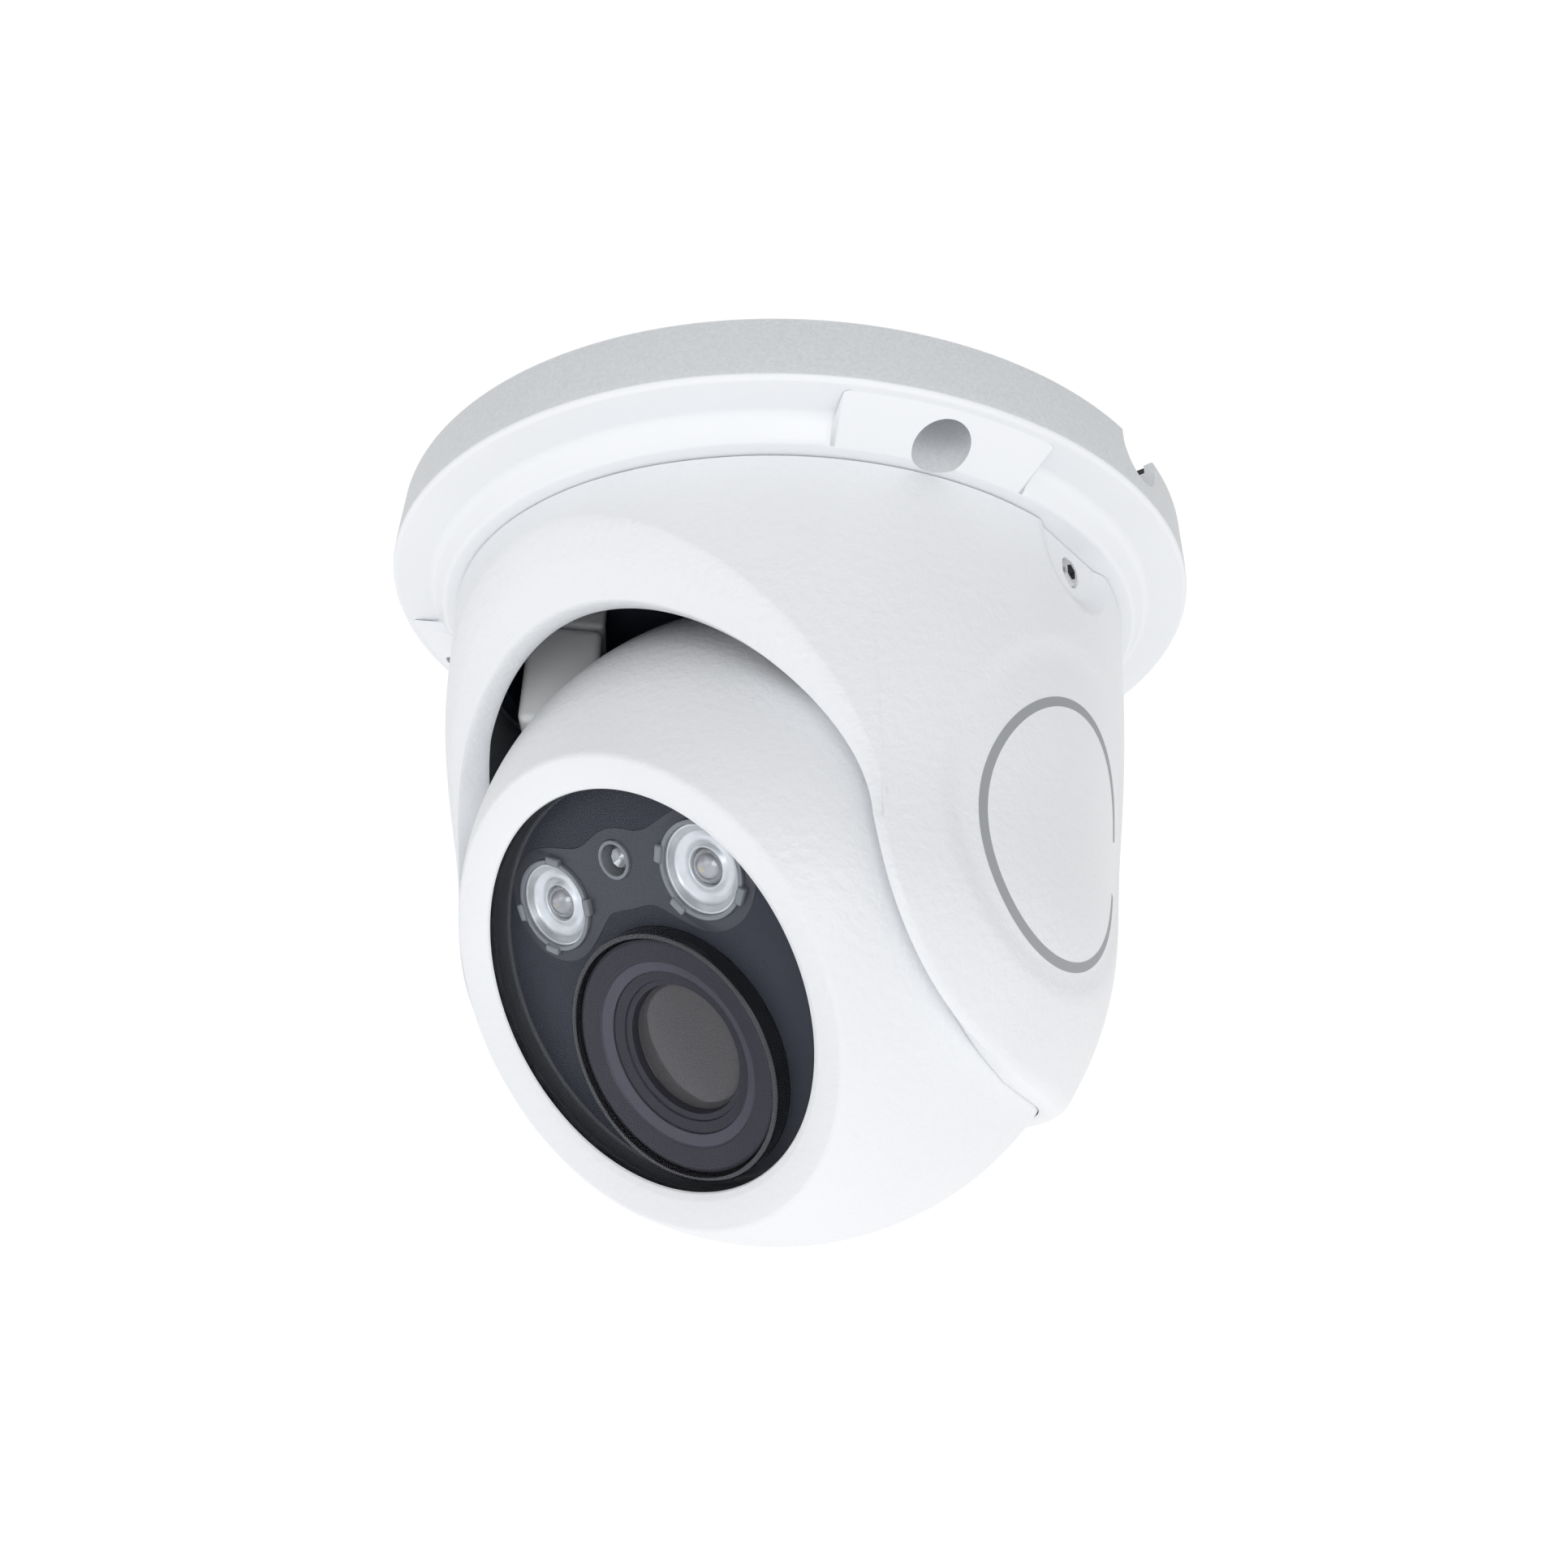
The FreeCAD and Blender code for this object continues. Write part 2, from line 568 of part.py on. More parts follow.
keep("ball_front", ball_front(), AT_BALL)
keep("ball_rear", ball_rear(), AT_BALL)
keep("ball_seal", ball_seal(), AT_BALL)
keep("ball_screws", ball_screws(), AT_BALL)
keep("cable_gland", cable_gland(), AT_BALL)
keep("front_window", front_window(), AT_BALL)
keep("window_gasket", window_gasket(), AT_BALL)


# ---------------------------------------------------------------- face panel and infrared lamps
def lamp_pair(name, item):
    """A solid drawn at the origin, placed at each lamp."""
    placed = []
    for number, sign in enumerate(("-", "")):
        twin = doc.addObject("Part::Compound", f"{name}At{number}")
        twin.Links = [item]
        placed.append(place(twin, f"{sign}lamp_x", "lamp_y"))
    return placed


def face_panel():
    """A dark cup behind the window, with holes for the lens sleeve, the lamps and the light sensor."""
    cup = turned("PanelCup", [
        ("0", "panel_back"), ("window_radius", "panel_back"), ("window_radius", "gasket_back"),
        ("window_sight + 0.8", "gasket_back"), ("window_sight + 0.8", "panel_front"), ("0", "panel_front")])
    tools = [cylinder("SleeveHole", "sleeve_outer + 0.05", "20", "40", y="-lens_drop"),
             cylinder("EyeHole", "eye_radius + 0.05", "20", "40", y="eye_y")]
    tools += lamp_pair("LampHole", cylinder("LampHoleTool", "lamp_radius + 0.05", "20", "40"))
    return cut("FacePanel", cup, *tools)


def lamp_lenses():
    """Clear collimator lenses: a cone with a well over the emitter."""
    cone = turned("LampLens", [
        ("0", "board_front + 2.6"), ("1.7", "board_front + 2.2"), ("1.9", "board_front + 0.4"),
        ("2.9", "board_front + 0.4"), ("lamp_radius - 0.7", "lamp_front - 0.8"),
        ("lamp_radius - 0.7", "lamp_front"), ("0", "lamp_front")])
    return group("LampLenses", lamp_pair("LampLens", cone))


def lamp_holders():
    """Clear holders around the collimators, each with three lugs."""
    ring = tube("HolderRing", "lamp_radius", "lamp_radius - 0.65", "board_front", "lamp_front + 0.1")
    lug = box("HolderLug", "-1.1", "-lamp_radius", "lamp_front + 0.1", "2.2", "1.6", "0.5")
    limit = cylinder("LugLimit", "lamp_radius", "20", "40")
    holder = fuse("LampHolder", ring, *copies("Lugs", common("LugRound", lug, limit), (15, 135, 255)))
    return group("LampHolders", lamp_pair("Holder", holder))


def lamp_emitters():
    """Square emitter packages with a dome, on the lamp board."""
    package = slab("EmitterPackage", "1.6", "1.6", "board_front", "board_front + 0.3")
    dome = common("EmitterDome", ball("EmitterBall", "1.5", "board_front + 0.2"),
                  cylinder("EmitterLimit", "2", "board_front + 0.2", "board_front + 3"))
    return group("LampEmitters", lamp_pair("Emitter", fuse("LampEmitter", package, dome)))


def lamp_board():
    """The lamp board, cut out around the lens and trimmed at the lens side of the ball."""
    disc = cylinder("BoardDisc", "board_radius", "board_back", "board_front")
    opening = cylinder("BoardOpening", "tube_outer + 3.2", "10", "30", y="-lens_drop")
    return cut("LampBoard", disc, opening)


def light_sensor():
    """A photocell on the lamp board that tells day from night."""
    return cylinder("LightSensor", "eye_radius - 0.6", "board_front", "lamp_front - 1.6", y="eye_y")


def sensor_collar():
    """A clear collar around the photocell."""
    return tube("SensorCollar", "eye_radius", "eye_radius - 0.55", "board_front", "lamp_front", y="eye_y")


keep("face_panel", face_panel(), AT_BALL)
keep("lamp_lenses", lamp_lenses(), AT_BALL)
keep("lamp_holders", lamp_holders(), AT_BALL)
keep("lamp_emitters", lamp_emitters(), AT_BALL)
keep("lamp_board", lamp_board(), AT_BALL)
keep("light_sensor", light_sensor(), AT_BALL)
keep("sensor_collar", sensor_collar(), AT_BALL)


# ---------------------------------------------------------------- varifocal lens, on its own axis
def lens_sleeve():
    """A tall black sleeve that keeps lamp light out of the lens."""
    return turned("LensSleeve", [
        ("sleeve_inner", "board_front"), ("sleeve_outer", "board_front"),
        ("sleeve_outer", "gasket_back - 0.1"),
        ("sleeve_outer - 0.3", "gasket_back + 0.2"), ("sleeve_inner + 0.1", "gasket_back + 0.2"),
        ("sleeve_inner", "gasket_back")])


def lens_barrel():
    """The fixed barrel: a stepped conical hood in front and the tube that the rings turn on."""
    return turned("LensBarrel", [
        ("tube_inner", "tube_back"), ("tube_outer", "tube_back"), ("tube_outer", "20.6"),
        ("hood_radius", "21.4"), ("hood_radius", "28.2"), ("14.4", "28.5"), ("13.9", "28.2"),
        ("12", "27"), ("11.4", "26.9"), ("11.2", "26.2"), ("element_radius + 0.3", "25.6"),
        ("element_radius + 0.05", "25.4"), ("element_radius + 0.05", "22.4"), ("tube_inner", "21.4")])


def lens_element(name, radius, low, edge, crown):
    """A glass disc with a domed front."""
    return turned(name, [
        ("0", low), (radius, low), (radius, edge), (f"({radius}) * 0.7", f"{edge} + {crown} * 0.52"),
        (f"({radius}) * 0.35", f"{edge} + {crown} * 0.88"), ("0", f"{edge} + {crown}")])


def front_element():
    """The large front glass."""
    return lens_element("FrontElement", "element_radius", "22.6", "24", "1.4")


def rear_element():
    """The fixed glass at the back of the barrel."""
    seat = tube("RearCell", "tube_inner", "6", "tube_back", "tube_back + 1.4")
    glass = cylinder("RearGlass", "6", "tube_back + 0.2", "tube_back + 1.2")
    return fuse("RearElement", seat, glass)


def grip_ring(name, low, high):
    """A control ring around the barrel."""
    return tube(name, "ring_outer", "tube_outer + running_gap", low, high)


def lever(name, low, high, angle):
    """A knurled lever screwed into a control ring."""
    middle = f"(({low}) + ({high})) / 2"
    shank = rod(f"{name}Shank", "0.8", "ring_outer", "lever_reach - 2.4", middle)
    grip = rod(f"{name}Grip", "1.5", "lever_reach - 2.6", "lever_reach", middle)
    whole = group(name, [fuse(f"{name}Whole", shank, grip)])
    whole.Placement = Placement(Vector(), Rotation(Vector(0, 0, 1), angle))
    return whole


def sliding_cell(name, low, high):
    """A cell that slides in the barrel."""
    return tube(name, "tube_inner - running_gap", "7.2", low, high)


def cell_glass(name, low, high):
    """The glass in a sliding cell."""
    return turned(name, [("0", f"{low} + 1.8"), ("7.2", f"{low} + 0.6"), ("7.2", f"{high} - 0.6"),
                         ("0", f"{high} - 1.8")])


keep("lens_sleeve", lens_sleeve(), AT_LENS)
keep("lens_barrel", lens_barrel(), AT_LENS)
keep("front_element", front_element(), AT_LENS)
keep("rear_element", rear_element(), AT_LENS)
keep("zoom_ring", grip_ring("ZoomRing", "zoom_low", "zoom_high"), AT_LENS)
keep("zoom_lever", lever("ZoomLever", "zoom_low", "zoom_high", 90), AT_LENS)
keep("zoom_cell", sliding_cell("ZoomCell", "zoom_cell_low", "zoom_cell_high"), AT_LENS)
keep("zoom_glass", cell_glass("ZoomGlass", "zoom_cell_low", "zoom_cell_high"), AT_LENS)
keep("focus_ring", grip_ring("FocusRing", "focus_low", "focus_high"), AT_LENS)
keep("focus_lever", lever("FocusLever", "focus_low", "focus_high", 90), AT_LENS)
keep("focus_cell", sliding_cell("FocusCell", "focus_cell_low", "focus_cell_high"), AT_LENS)
keep("focus_glass", cell_glass("FocusGlass", "focus_cell_low", "focus_cell_high"), AT_LENS)


# ---------------------------------------------------------------- filter switcher, sensor and boards
CHASSIS_SCREW_ANGLES = [angle + 60 for angle in SCREW_ANGLES]


def chassis():
    """A plate on the front half's flange with two legs that carry the lens and boards."""
    plate = cylinder("ChassisPlate", "chassis_radius", "flange_half", "chassis_top")
    opening = cylinder("ChassisOpening", "22", "0", "20", y="-lens_drop")
    upper = cylinder("ChassisUpper", "13", "0", "20", y="15")
    holes = copies("ChassisScrewHoles", cylinder("ChassisScrewHole", "1", "0", "20", x="screw_circle"),
                   CHASSIS_SCREW_ANGLES)
    legs = [box(f"Leg{side}", start, "-lens_drop - 5", "leg_depth", "1.5", "10", "chassis_top - leg_depth")
            for side, start in (("Right", "leg_x"), ("Left", "-leg_x - 1.5"))]
    feet = [box(f"Foot{side}", start, "-lens_drop - 5", "flange_half", "8", "10", "chassis_top - flange_half")
            for side, start in (("Right", "leg_x"), ("Left", "-leg_x - 8"))]
    return fuse("Chassis", cut("ChassisCut", plate, opening, upper, *holes), *legs, *feet)


def chassis_screws():
    """Three screws that hold the chassis on the flange."""
    screw = stepped("ChassisScrew", [("1", "1.7", "chassis_top"),
                                     ("1.9", "chassis_top", "chassis_top + 1.3")])
    slot = box("ChassisSlot", "-0.25", "-2", "chassis_top + 0.8", "0.5", "4", "2")
    placed = place(group("ChassisScrewPlaced", [cut("ChassisScrewCut", screw, slot)]), x="screw_circle")
    return group("ChassisScrews", copies("ChassisScrewSet", placed, CHASSIS_SCREW_ANGLES))


def filter_housing():
    """A flat box behind the lens in which the infrared filter slides sideways."""
    block = slab("FilterBlock", "15.4", "9", "filter_back", "filter_top - 0.05")
    track = slab("FilterTrack", "14.5", "7", "filter_back + 1", "filter_top - 1.3")
    lid = slab("FilterLid", "14.5", "7", "filter_top - 1.4", "filter_top - 1.05")
    bore = cylinder("FilterBore", "5", "-30", "0")
    return cut("FilterHousing", block, track, lid, bore)


def filter_carrier():
    """The sliding plate with one red-cut window and one clear window."""
    plate = slab("CarrierPlate", "9.6", "6.9", "filter_back + 1.1", "filter_back + 2.1", x="-4")
    windows = [slab(f"CarrierWindow{side}", "4", "5", "-30", "0", x=middle)
               for side, middle in (("Cut", "0"), ("Clear", "-8.6"))]
    return cut("FilterCarrier", plate, *windows)


def filter_glasses():
    """The two glasses in the carrier."""
    return group("FilterGlasses", [
        slab(f"CarrierGlass{side}", "4", "5", "filter_back + 1.3", "filter_back + 1.9", x=middle)
        for side, middle in (("Cut", "0"), ("Clear", "-8.6"))])


def filter_coil():
    """The magnet coil beside the filter housing."""
    core = slab("CoilCore", "3", "1.2", "filter_back + 0.4", "filter_top - 0.6", y="10.2")
    winding = slab("CoilWinding", "5", "1.9", "filter_back + 0.9", "filter_top - 1.1", y="10.9")
    return fuse("FilterCoil", core, winding)


def lens_mount():
    """The plate between the chassis legs that carries the filter housing."""
    plate = slab("MountPlate", "leg_x", "12", "mount_top", "filter_back")
    return cut("LensMount", plate, cylinder("MountBore", "6", "-30", "0"))


def image_sensor():
    """The image sensor's package on its board, under the lens mount's opening."""
    return slab("ImageSensor", "5", "4.5", "sensor_front", "sensor_front + 1.6")


def corner_set(name, item, half):
    """Four copies of a solid at the corners of a board."""
    corners = []
    for number, (x, y) in enumerate(((-1, -1), (1, -1), (1, 1), (-1, 1))):
        twin = doc.addObject("Part::Compound", f"{name}Corner{number}")
        twin.Links = [item]
        corners.append(place(twin, f"{x} * {half}", f"{y} * {half}"))
    return group(name, corners)


def board(name, side, front, clip):
    """A square board with rounded corners and four holes. clip is the corner radius over half the side."""
    plate = slab(f"{name}Plate", f"{side} / 2", f"{side} / 2", f"{front} - board_thick", front)
    limit = cylinder(f"{name}Limit", f"{side} / 2 * {clip}", "-60", "0")
    holes = corner_set(f"{name}Holes", cylinder(f"{name}Hole", "1", "-60", "0"), "board_hole")
    return cut(name, common(f"{name}Clipped", plate, limit), holes)


def board_spacers():
    """Four spacers between the two boards."""
    spacer = tube("Spacer", "1.9", "1", "main_front", "sensor_front - board_thick")
    return corner_set("BoardSpacers", spacer, "board_hole")


def board_screws():
    """Four screws through both boards and their spacers."""
    screw = stepped("BoardScrew", [("1", "main_front - board_thick", "sensor_front"),
                                   ("1.7", "sensor_front", "sensor_front + 1.2")])
    return corner_set("BoardScrews", screw, "board_hole")


def main_chip():
    """The processor on the back of the main board, with its heat pad."""
    return slab("MainChip", "6", "6", "main_front - board_thick - 1.3", "main_front - board_thick")


def heat_spreader():
    """A finned aluminium spreader on the processor."""
    top = "main_front - board_thick - 1.3"
    plate = slab("SpreaderPlate", "6.5", "6.5", f"{top} - 1", top)
    fins = [slab(f"Fin{number}", "0.5", "6.5", f"{top} - 4", f"{top} - 0.9", x=str(-6 + 3 * number))
            for number in range(5)]
    return fuse("HeatSpreader", plate, *fins)


def signal_socket():
    """The socket for the cable on the back of the main board."""
    low = "main_front - board_thick - 4.5"
    block = slab("SocketBlock", "6", "2.6", low, "main_front - board_thick", y="-11")
    return cut("SignalSocket", block, slab("SocketMouth", "5.2", "1.8", f"{low} - 1", f"{low} + 3", y="-11"))


def power_coil():
    """A power inductor on the front of the main board."""
    return cylinder("PowerCoil", "3", "main_front", "main_front + 3.6")


keep("chassis", chassis(), AT_BALL)
keep("chassis_screws", chassis_screws(), AT_BALL)
keep("filter_housing", filter_housing(), AT_LENS)
keep("filter_carrier", filter_carrier(), AT_LENS)
keep("filter_glasses", filter_glasses(), AT_LENS)
keep("filter_coil", filter_coil(), AT_LENS)
keep("lens_mount", lens_mount(), AT_LENS)
keep("image_sensor", image_sensor(), AT_LENS)
keep("sensor_board", board("SensorBoard", "sensor_board", "sensor_front", "1.28"), AT_LENS)
keep("main_board", board("MainBoard", "main_board", "main_front", "1.28"), AT_LENS)
keep("board_spacers", board_spacers(), AT_LENS)
keep("board_screws", board_screws(), AT_LENS)
keep("main_chip", main_chip(), AT_LENS)
keep("heat_spreader", heat_spreader(), AT_LENS)
keep("signal_socket", signal_socket(), AT_LENS)
keep("power_coil", power_coil(), AT_LENS)


# ---------------------------------------------------------------- recompute, check and write
doc.removeObject(gauge.Name)
doc.recompute()
failed = [item.Name for item in doc.Objects if {"Invalid", "Error"} & set(item.State)]
if failed:
    raise RuntimeError(f"objects that did not recompute: {failed}")
for node, item in SUBPARTS:
    if item.Shape.isNull() or not item.Shape.isValid() or not item.Shape.Solids:
        raise RuntimeError(f"{node} has no valid shape")

os.makedirs("parts", exist_ok=True)
for node, item in SUBPARTS:
    item.Shape.exportStep(f"parts/{node}.step")
    print(f"{node}: {len(item.Shape.Solids)} solid(s), {item.Shape.Volume:.1f} mm3")
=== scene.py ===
import json
import math

import bmesh
import bpy
import numpy as np
from mathutils import Matrix, Vector


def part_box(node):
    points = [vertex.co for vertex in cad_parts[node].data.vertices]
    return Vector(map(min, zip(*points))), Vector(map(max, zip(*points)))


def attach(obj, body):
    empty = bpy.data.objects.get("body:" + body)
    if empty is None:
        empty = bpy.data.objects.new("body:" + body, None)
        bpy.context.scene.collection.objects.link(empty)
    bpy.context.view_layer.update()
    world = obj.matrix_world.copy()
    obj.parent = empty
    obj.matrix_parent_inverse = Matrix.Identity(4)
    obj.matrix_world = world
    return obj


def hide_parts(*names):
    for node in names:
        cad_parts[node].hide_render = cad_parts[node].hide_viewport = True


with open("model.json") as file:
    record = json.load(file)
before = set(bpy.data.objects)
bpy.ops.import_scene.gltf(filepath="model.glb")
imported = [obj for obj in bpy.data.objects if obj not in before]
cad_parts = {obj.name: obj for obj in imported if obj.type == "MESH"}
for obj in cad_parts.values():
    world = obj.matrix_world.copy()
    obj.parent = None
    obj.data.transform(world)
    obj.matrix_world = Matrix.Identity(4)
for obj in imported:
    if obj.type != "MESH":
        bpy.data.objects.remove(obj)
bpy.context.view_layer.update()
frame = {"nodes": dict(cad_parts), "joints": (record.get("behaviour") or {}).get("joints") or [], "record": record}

# The camera hangs under a ceiling: Z is up, the lens looks towards -Y and down. Shapes are drawn in
# millimetres and scaled to metres when a piece is made.
METRE = 0.001
JOINTS = {joint["name"]: joint for joint in frame["joints"]}
SLOTS = {part["node"]: part["material_slot"] for part in frame["record"]["subparts"]}
COLOURS = {entry["slot"]: entry["base_color"] for entry in frame["record"]["materials"]}


def in_mm(point):
    return Vector(point) / METRE


BALL_CENTRE = in_mm(JOINTS["tilt"]["pos_m"])
LENS_WAY = Vector(JOINTS["roll"]["axis"]).normalized()
FACE_UP = LENS_WAY.cross(Vector((1, 0, 0)))
AT_BASE = Matrix.Identity(4)
BALL_AXES = Matrix((Vector((1, 0, 0)), FACE_UP, LENS_WAY)).transposed().to_4x4()
AT_BALL = Matrix.Translation(BALL_CENTRE) @ BALL_AXES
LENS_DROP = (in_mm(JOINTS["zoom_turn"]["pos_m"]) - BALL_CENTRE).dot(FACE_UP)
AT_LENS = AT_BALL @ Matrix.Translation((0, LENS_DROP, 0))

BASE_R = in_mm(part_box("mounting_base")[1]).x
BALL_Z = round(BALL_CENTRE.z, 3)
BALL_R = 44.48  # just under the CAD ball's radius, so that the drawn ball stays inside its bounds


# ---------------------------------------------------------------- mesh helpers
def cleaned(mesh, weld=1e-4):
    """Weld points closer than the distance and turn all faces outwards."""
    work = bmesh.new()
    work.from_mesh(mesh)
    bmesh.ops.remove_doubles(work, verts=work.verts, dist=weld)
    bmesh.ops.dissolve_degenerate(work, edges=work.edges, dist=weld)
    bmesh.ops.recalc_face_normals(work, faces=work.faces)
    work.to_mesh(mesh)
    work.free()
    return mesh


def grid(points, ring_rows=True, ring_columns=True):
    """A mesh from rows and columns of points, joined round in either direction."""
    points = np.asarray(points, float)
    rows, columns = points.shape[:2]
    index = np.arange(rows * columns).reshape(rows, columns)
    if ring_rows:
        index = np.vstack([index, index[:1]])
    if ring_columns:
        index = np.hstack([index, index[:, :1]])
    corners = np.stack([index[:-1, :-1], index[:-1, 1:], index[1:, 1:], index[1:, :-1]], -1)
    mesh = bpy.data.meshes.new("grid")
    mesh.from_pydata(points.reshape(-1, 3).tolist(), [], corners.reshape(-1, 4).tolist())
    return cleaned(mesh)


def rounded(points, steps=6):
    """An outline in which each corner with a third value is rounded to that radius."""
    result = []
    for number, point in enumerate(points):
        corner = Vector(point[:2])
        if len(point) == 2:
            result.append(corner)
            continue
        before = Vector(points[number - 1][:2]) - corner
        after = Vector(points[(number + 1) % len(points)][:2]) - corner
        half = before.angle(after) / 2
        reach = min(point[2] / math.tan(half), 0.49 * before.length, 0.49 * after.length)
        radius = reach * math.tan(half)
        centre = corner + (before.normalized() + after.normalized()).normalized() * (radius / math.sin(half))
        start = corner + before.normalized() * reach - centre
        sweep = start.angle_signed(corner + after.normalized() * reach - centre)
        for step in range(steps + 1):
            result.append(centre + Matrix.Rotation(-sweep * step / steps, 2) @ start)
    return result


def arc(centre_x, centre_z, radius, start, end, steps=8):
    """Points of an arc between two angles in degrees."""
    return [(centre_x + radius * math.cos(math.radians(a)), centre_z + radius * math.sin(math.radians(a)))
            for a in np.linspace(start, end, steps)]


def lathe(outline, segments=192):
    """A closed outline of radius and height, turned about Z."""
    turn = np.linspace(0, 2 * math.pi, segments, endpoint=False)
    outline = np.array([tuple(point) for point in outline])
    return grid(np.stack([np.outer(outline[:, 0], np.cos(turn)), np.outer(outline[:, 0], np.sin(turn)),
                          np.outer(outline[:, 1], np.ones(segments))], -1))


def block(low, high, round_edges=0.0, steps=3):
    """A box with rounded edges."""
    work = bmesh.new()
    bmesh.ops.create_cube(work, size=1)
    low, high = Vector(low), Vector(high)
    size = high - low
    bmesh.ops.scale(work, vec=size, verts=work.verts)
    bmesh.ops.translate(work, vec=(low + high) / 2, verts=work.verts)
    if round_edges:
        bmesh.ops.bevel(work, geom=work.edges, offset=round_edges, segments=steps, profile=0.5,
                        affect="EDGES")
    mesh = bpy.data.meshes.new("block")
    work.to_mesh(mesh)
    work.free()
    return mesh


def moved(mesh, matrix):
    """A copy of a mesh, moved."""
    twin = mesh.copy()
    twin.transform(matrix)
    if matrix.to_3x3().determinant() < 0:
        twin.flip_normals()
    return twin


def spun(mesh, angle):
    return moved(mesh, Matrix.Rotation(math.radians(angle), 4, "Z"))


def joined(*meshes):
    """Several separate solids in one mesh."""
    work = bmesh.new()
    for mesh in meshes:
        work.from_mesh(mesh)
    mesh = bpy.data.meshes.new("joined")
    work.to_mesh(mesh)
    work.free()
    return mesh


def boolean(mesh, tool, operation):
    """The mesh with another cut from it or added to it."""
    body = bpy.data.objects.new("body", mesh)
    other = bpy.data.objects.new("tool", tool)
    for item in (body, other):
        bpy.context.scene.collection.objects.link(item)
    modifier = body.modifiers.new("boolean", "BOOLEAN")
    modifier.operation = operation
    modifier.solver = "EXACT"
    modifier.object = other
    result = bpy.data.meshes.new_from_object(body.evaluated_get(bpy.context.evaluated_depsgraph_get()))
    bpy.data.objects.remove(body)
    bpy.data.objects.remove(other)
    return result


def cut(mesh, *tools):
    for tool in tools:
        mesh = boolean(mesh, tool, "DIFFERENCE")
    return mesh


def fused(mesh, *others):
    for other in others:
        mesh = boolean(mesh, other, "UNION")
    return mesh


def piece(name, mesh, materials, body, replaces=(), at=AT_BASE, sharp=32, second=None):
    """Make a piece of the object. second gives the number of each face's material from the face's centre
    and normal."""
    obj = bpy.data.objects.new(name, mesh)
    bpy.context.scene.collection.objects.link(obj)
    for material in materials:
        mesh.materials.append(material)
    if second:
        for face in mesh.polygons:
            face.material_index = int(second(face.center, face.normal))
    mesh.transform(Matrix.Scale(METRE, 4) @ at)
    mesh.shade_smooth()
    mesh.set_sharp_from_angle(angle=math.radians(sharp))
    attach(obj, body)
    if replaces:
        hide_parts(*replaces)
    return obj


# ---------------------------------------------------------------- finishes
def make_material(name):
    material = bpy.data.materials.new(name)
    material.use_nodes = True
    tree = material.node_tree
    return material, tree, tree.nodes["Principled BSDF"]


def noise(tree, scale, detail=2.0, rough=0.5):
    """Noise over the object's own coordinates; the scale is in cycles per millimetre."""
    coordinates = tree.nodes.new("ShaderNodeTexCoord")
    texture = tree.nodes.new("ShaderNodeTexNoise")
    texture.inputs["Scale"].default_value = scale / METRE
    texture.inputs["Detail"].default_value = detail
    texture.inputs["Roughness"].default_value = rough
    tree.links.new(coordinates.outputs["Object"], texture.inputs["Vector"])
    return texture.outputs["Fac"]


def spread(tree, value, low, high):
    """Map the middle of a noise to a range."""
    node = tree.nodes.new("ShaderNodeMapRange")
    node.inputs["From Min"].default_value = 0.3
    node.inputs["From Max"].default_value = 0.7
    node.inputs["To Min"].default_value = low
    node.inputs["To Max"].default_value = high
    tree.links.new(value, node.inputs["Value"])
    return node.outputs["Result"]


def tinted(tree, factor, first, second):
    """A colour between two by a factor."""
    node = tree.nodes.new("ShaderNodeMix")
    node.data_type = "RGBA"
    node.inputs["A"].default_value = (*first, 1)
    node.inputs["B"].default_value = (*second, 1)
    tree.links.new(factor, node.inputs["Factor"])
    return node.outputs["Result"]


def finish(name, colour, rough, metal=0.0, vary=0.04, patch=0.05, grains=(), **inputs):
    """A procedural finish. vary is the share the colour changes by over patches of about 1 / patch
    millimetres, and each grain is a bump of (cycles per millimetre, height in millimetres)."""
    material, tree, shader = make_material(name)
    slow = noise(tree, patch, 3.0)
    factor = spread(tree, slow, 0.0, 1.0)
    colours = [[min(1.0, c * (1 + sign * vary)) for c in colour[:3]] for sign in (-1, 1)]
    tree.links.new(tinted(tree, factor, *colours), shader.inputs["Base Color"])
    tree.links.new(spread(tree, slow, rough * 0.94, rough * 1.06), shader.inputs["Roughness"])
    shader.inputs["Metallic"].default_value = metal
    for key, value in inputs.items():
        shader.inputs[key.replace("_", " ")].default_value = value
    normal = None
    for scale, height in grains:
        bump = tree.nodes.new("ShaderNodeBump")
        bump.inputs["Strength"].default_value = 1.0
        bump.inputs["Distance"].default_value = height * METRE
        tree.links.new(noise(tree, scale), bump.inputs["Height"])
        if normal:
            tree.links.new(normal, bump.inputs["Normal"])
        normal = bump.outputs["Normal"]
    if normal:
        tree.links.new(normal, shader.inputs["Normal"])
    return material


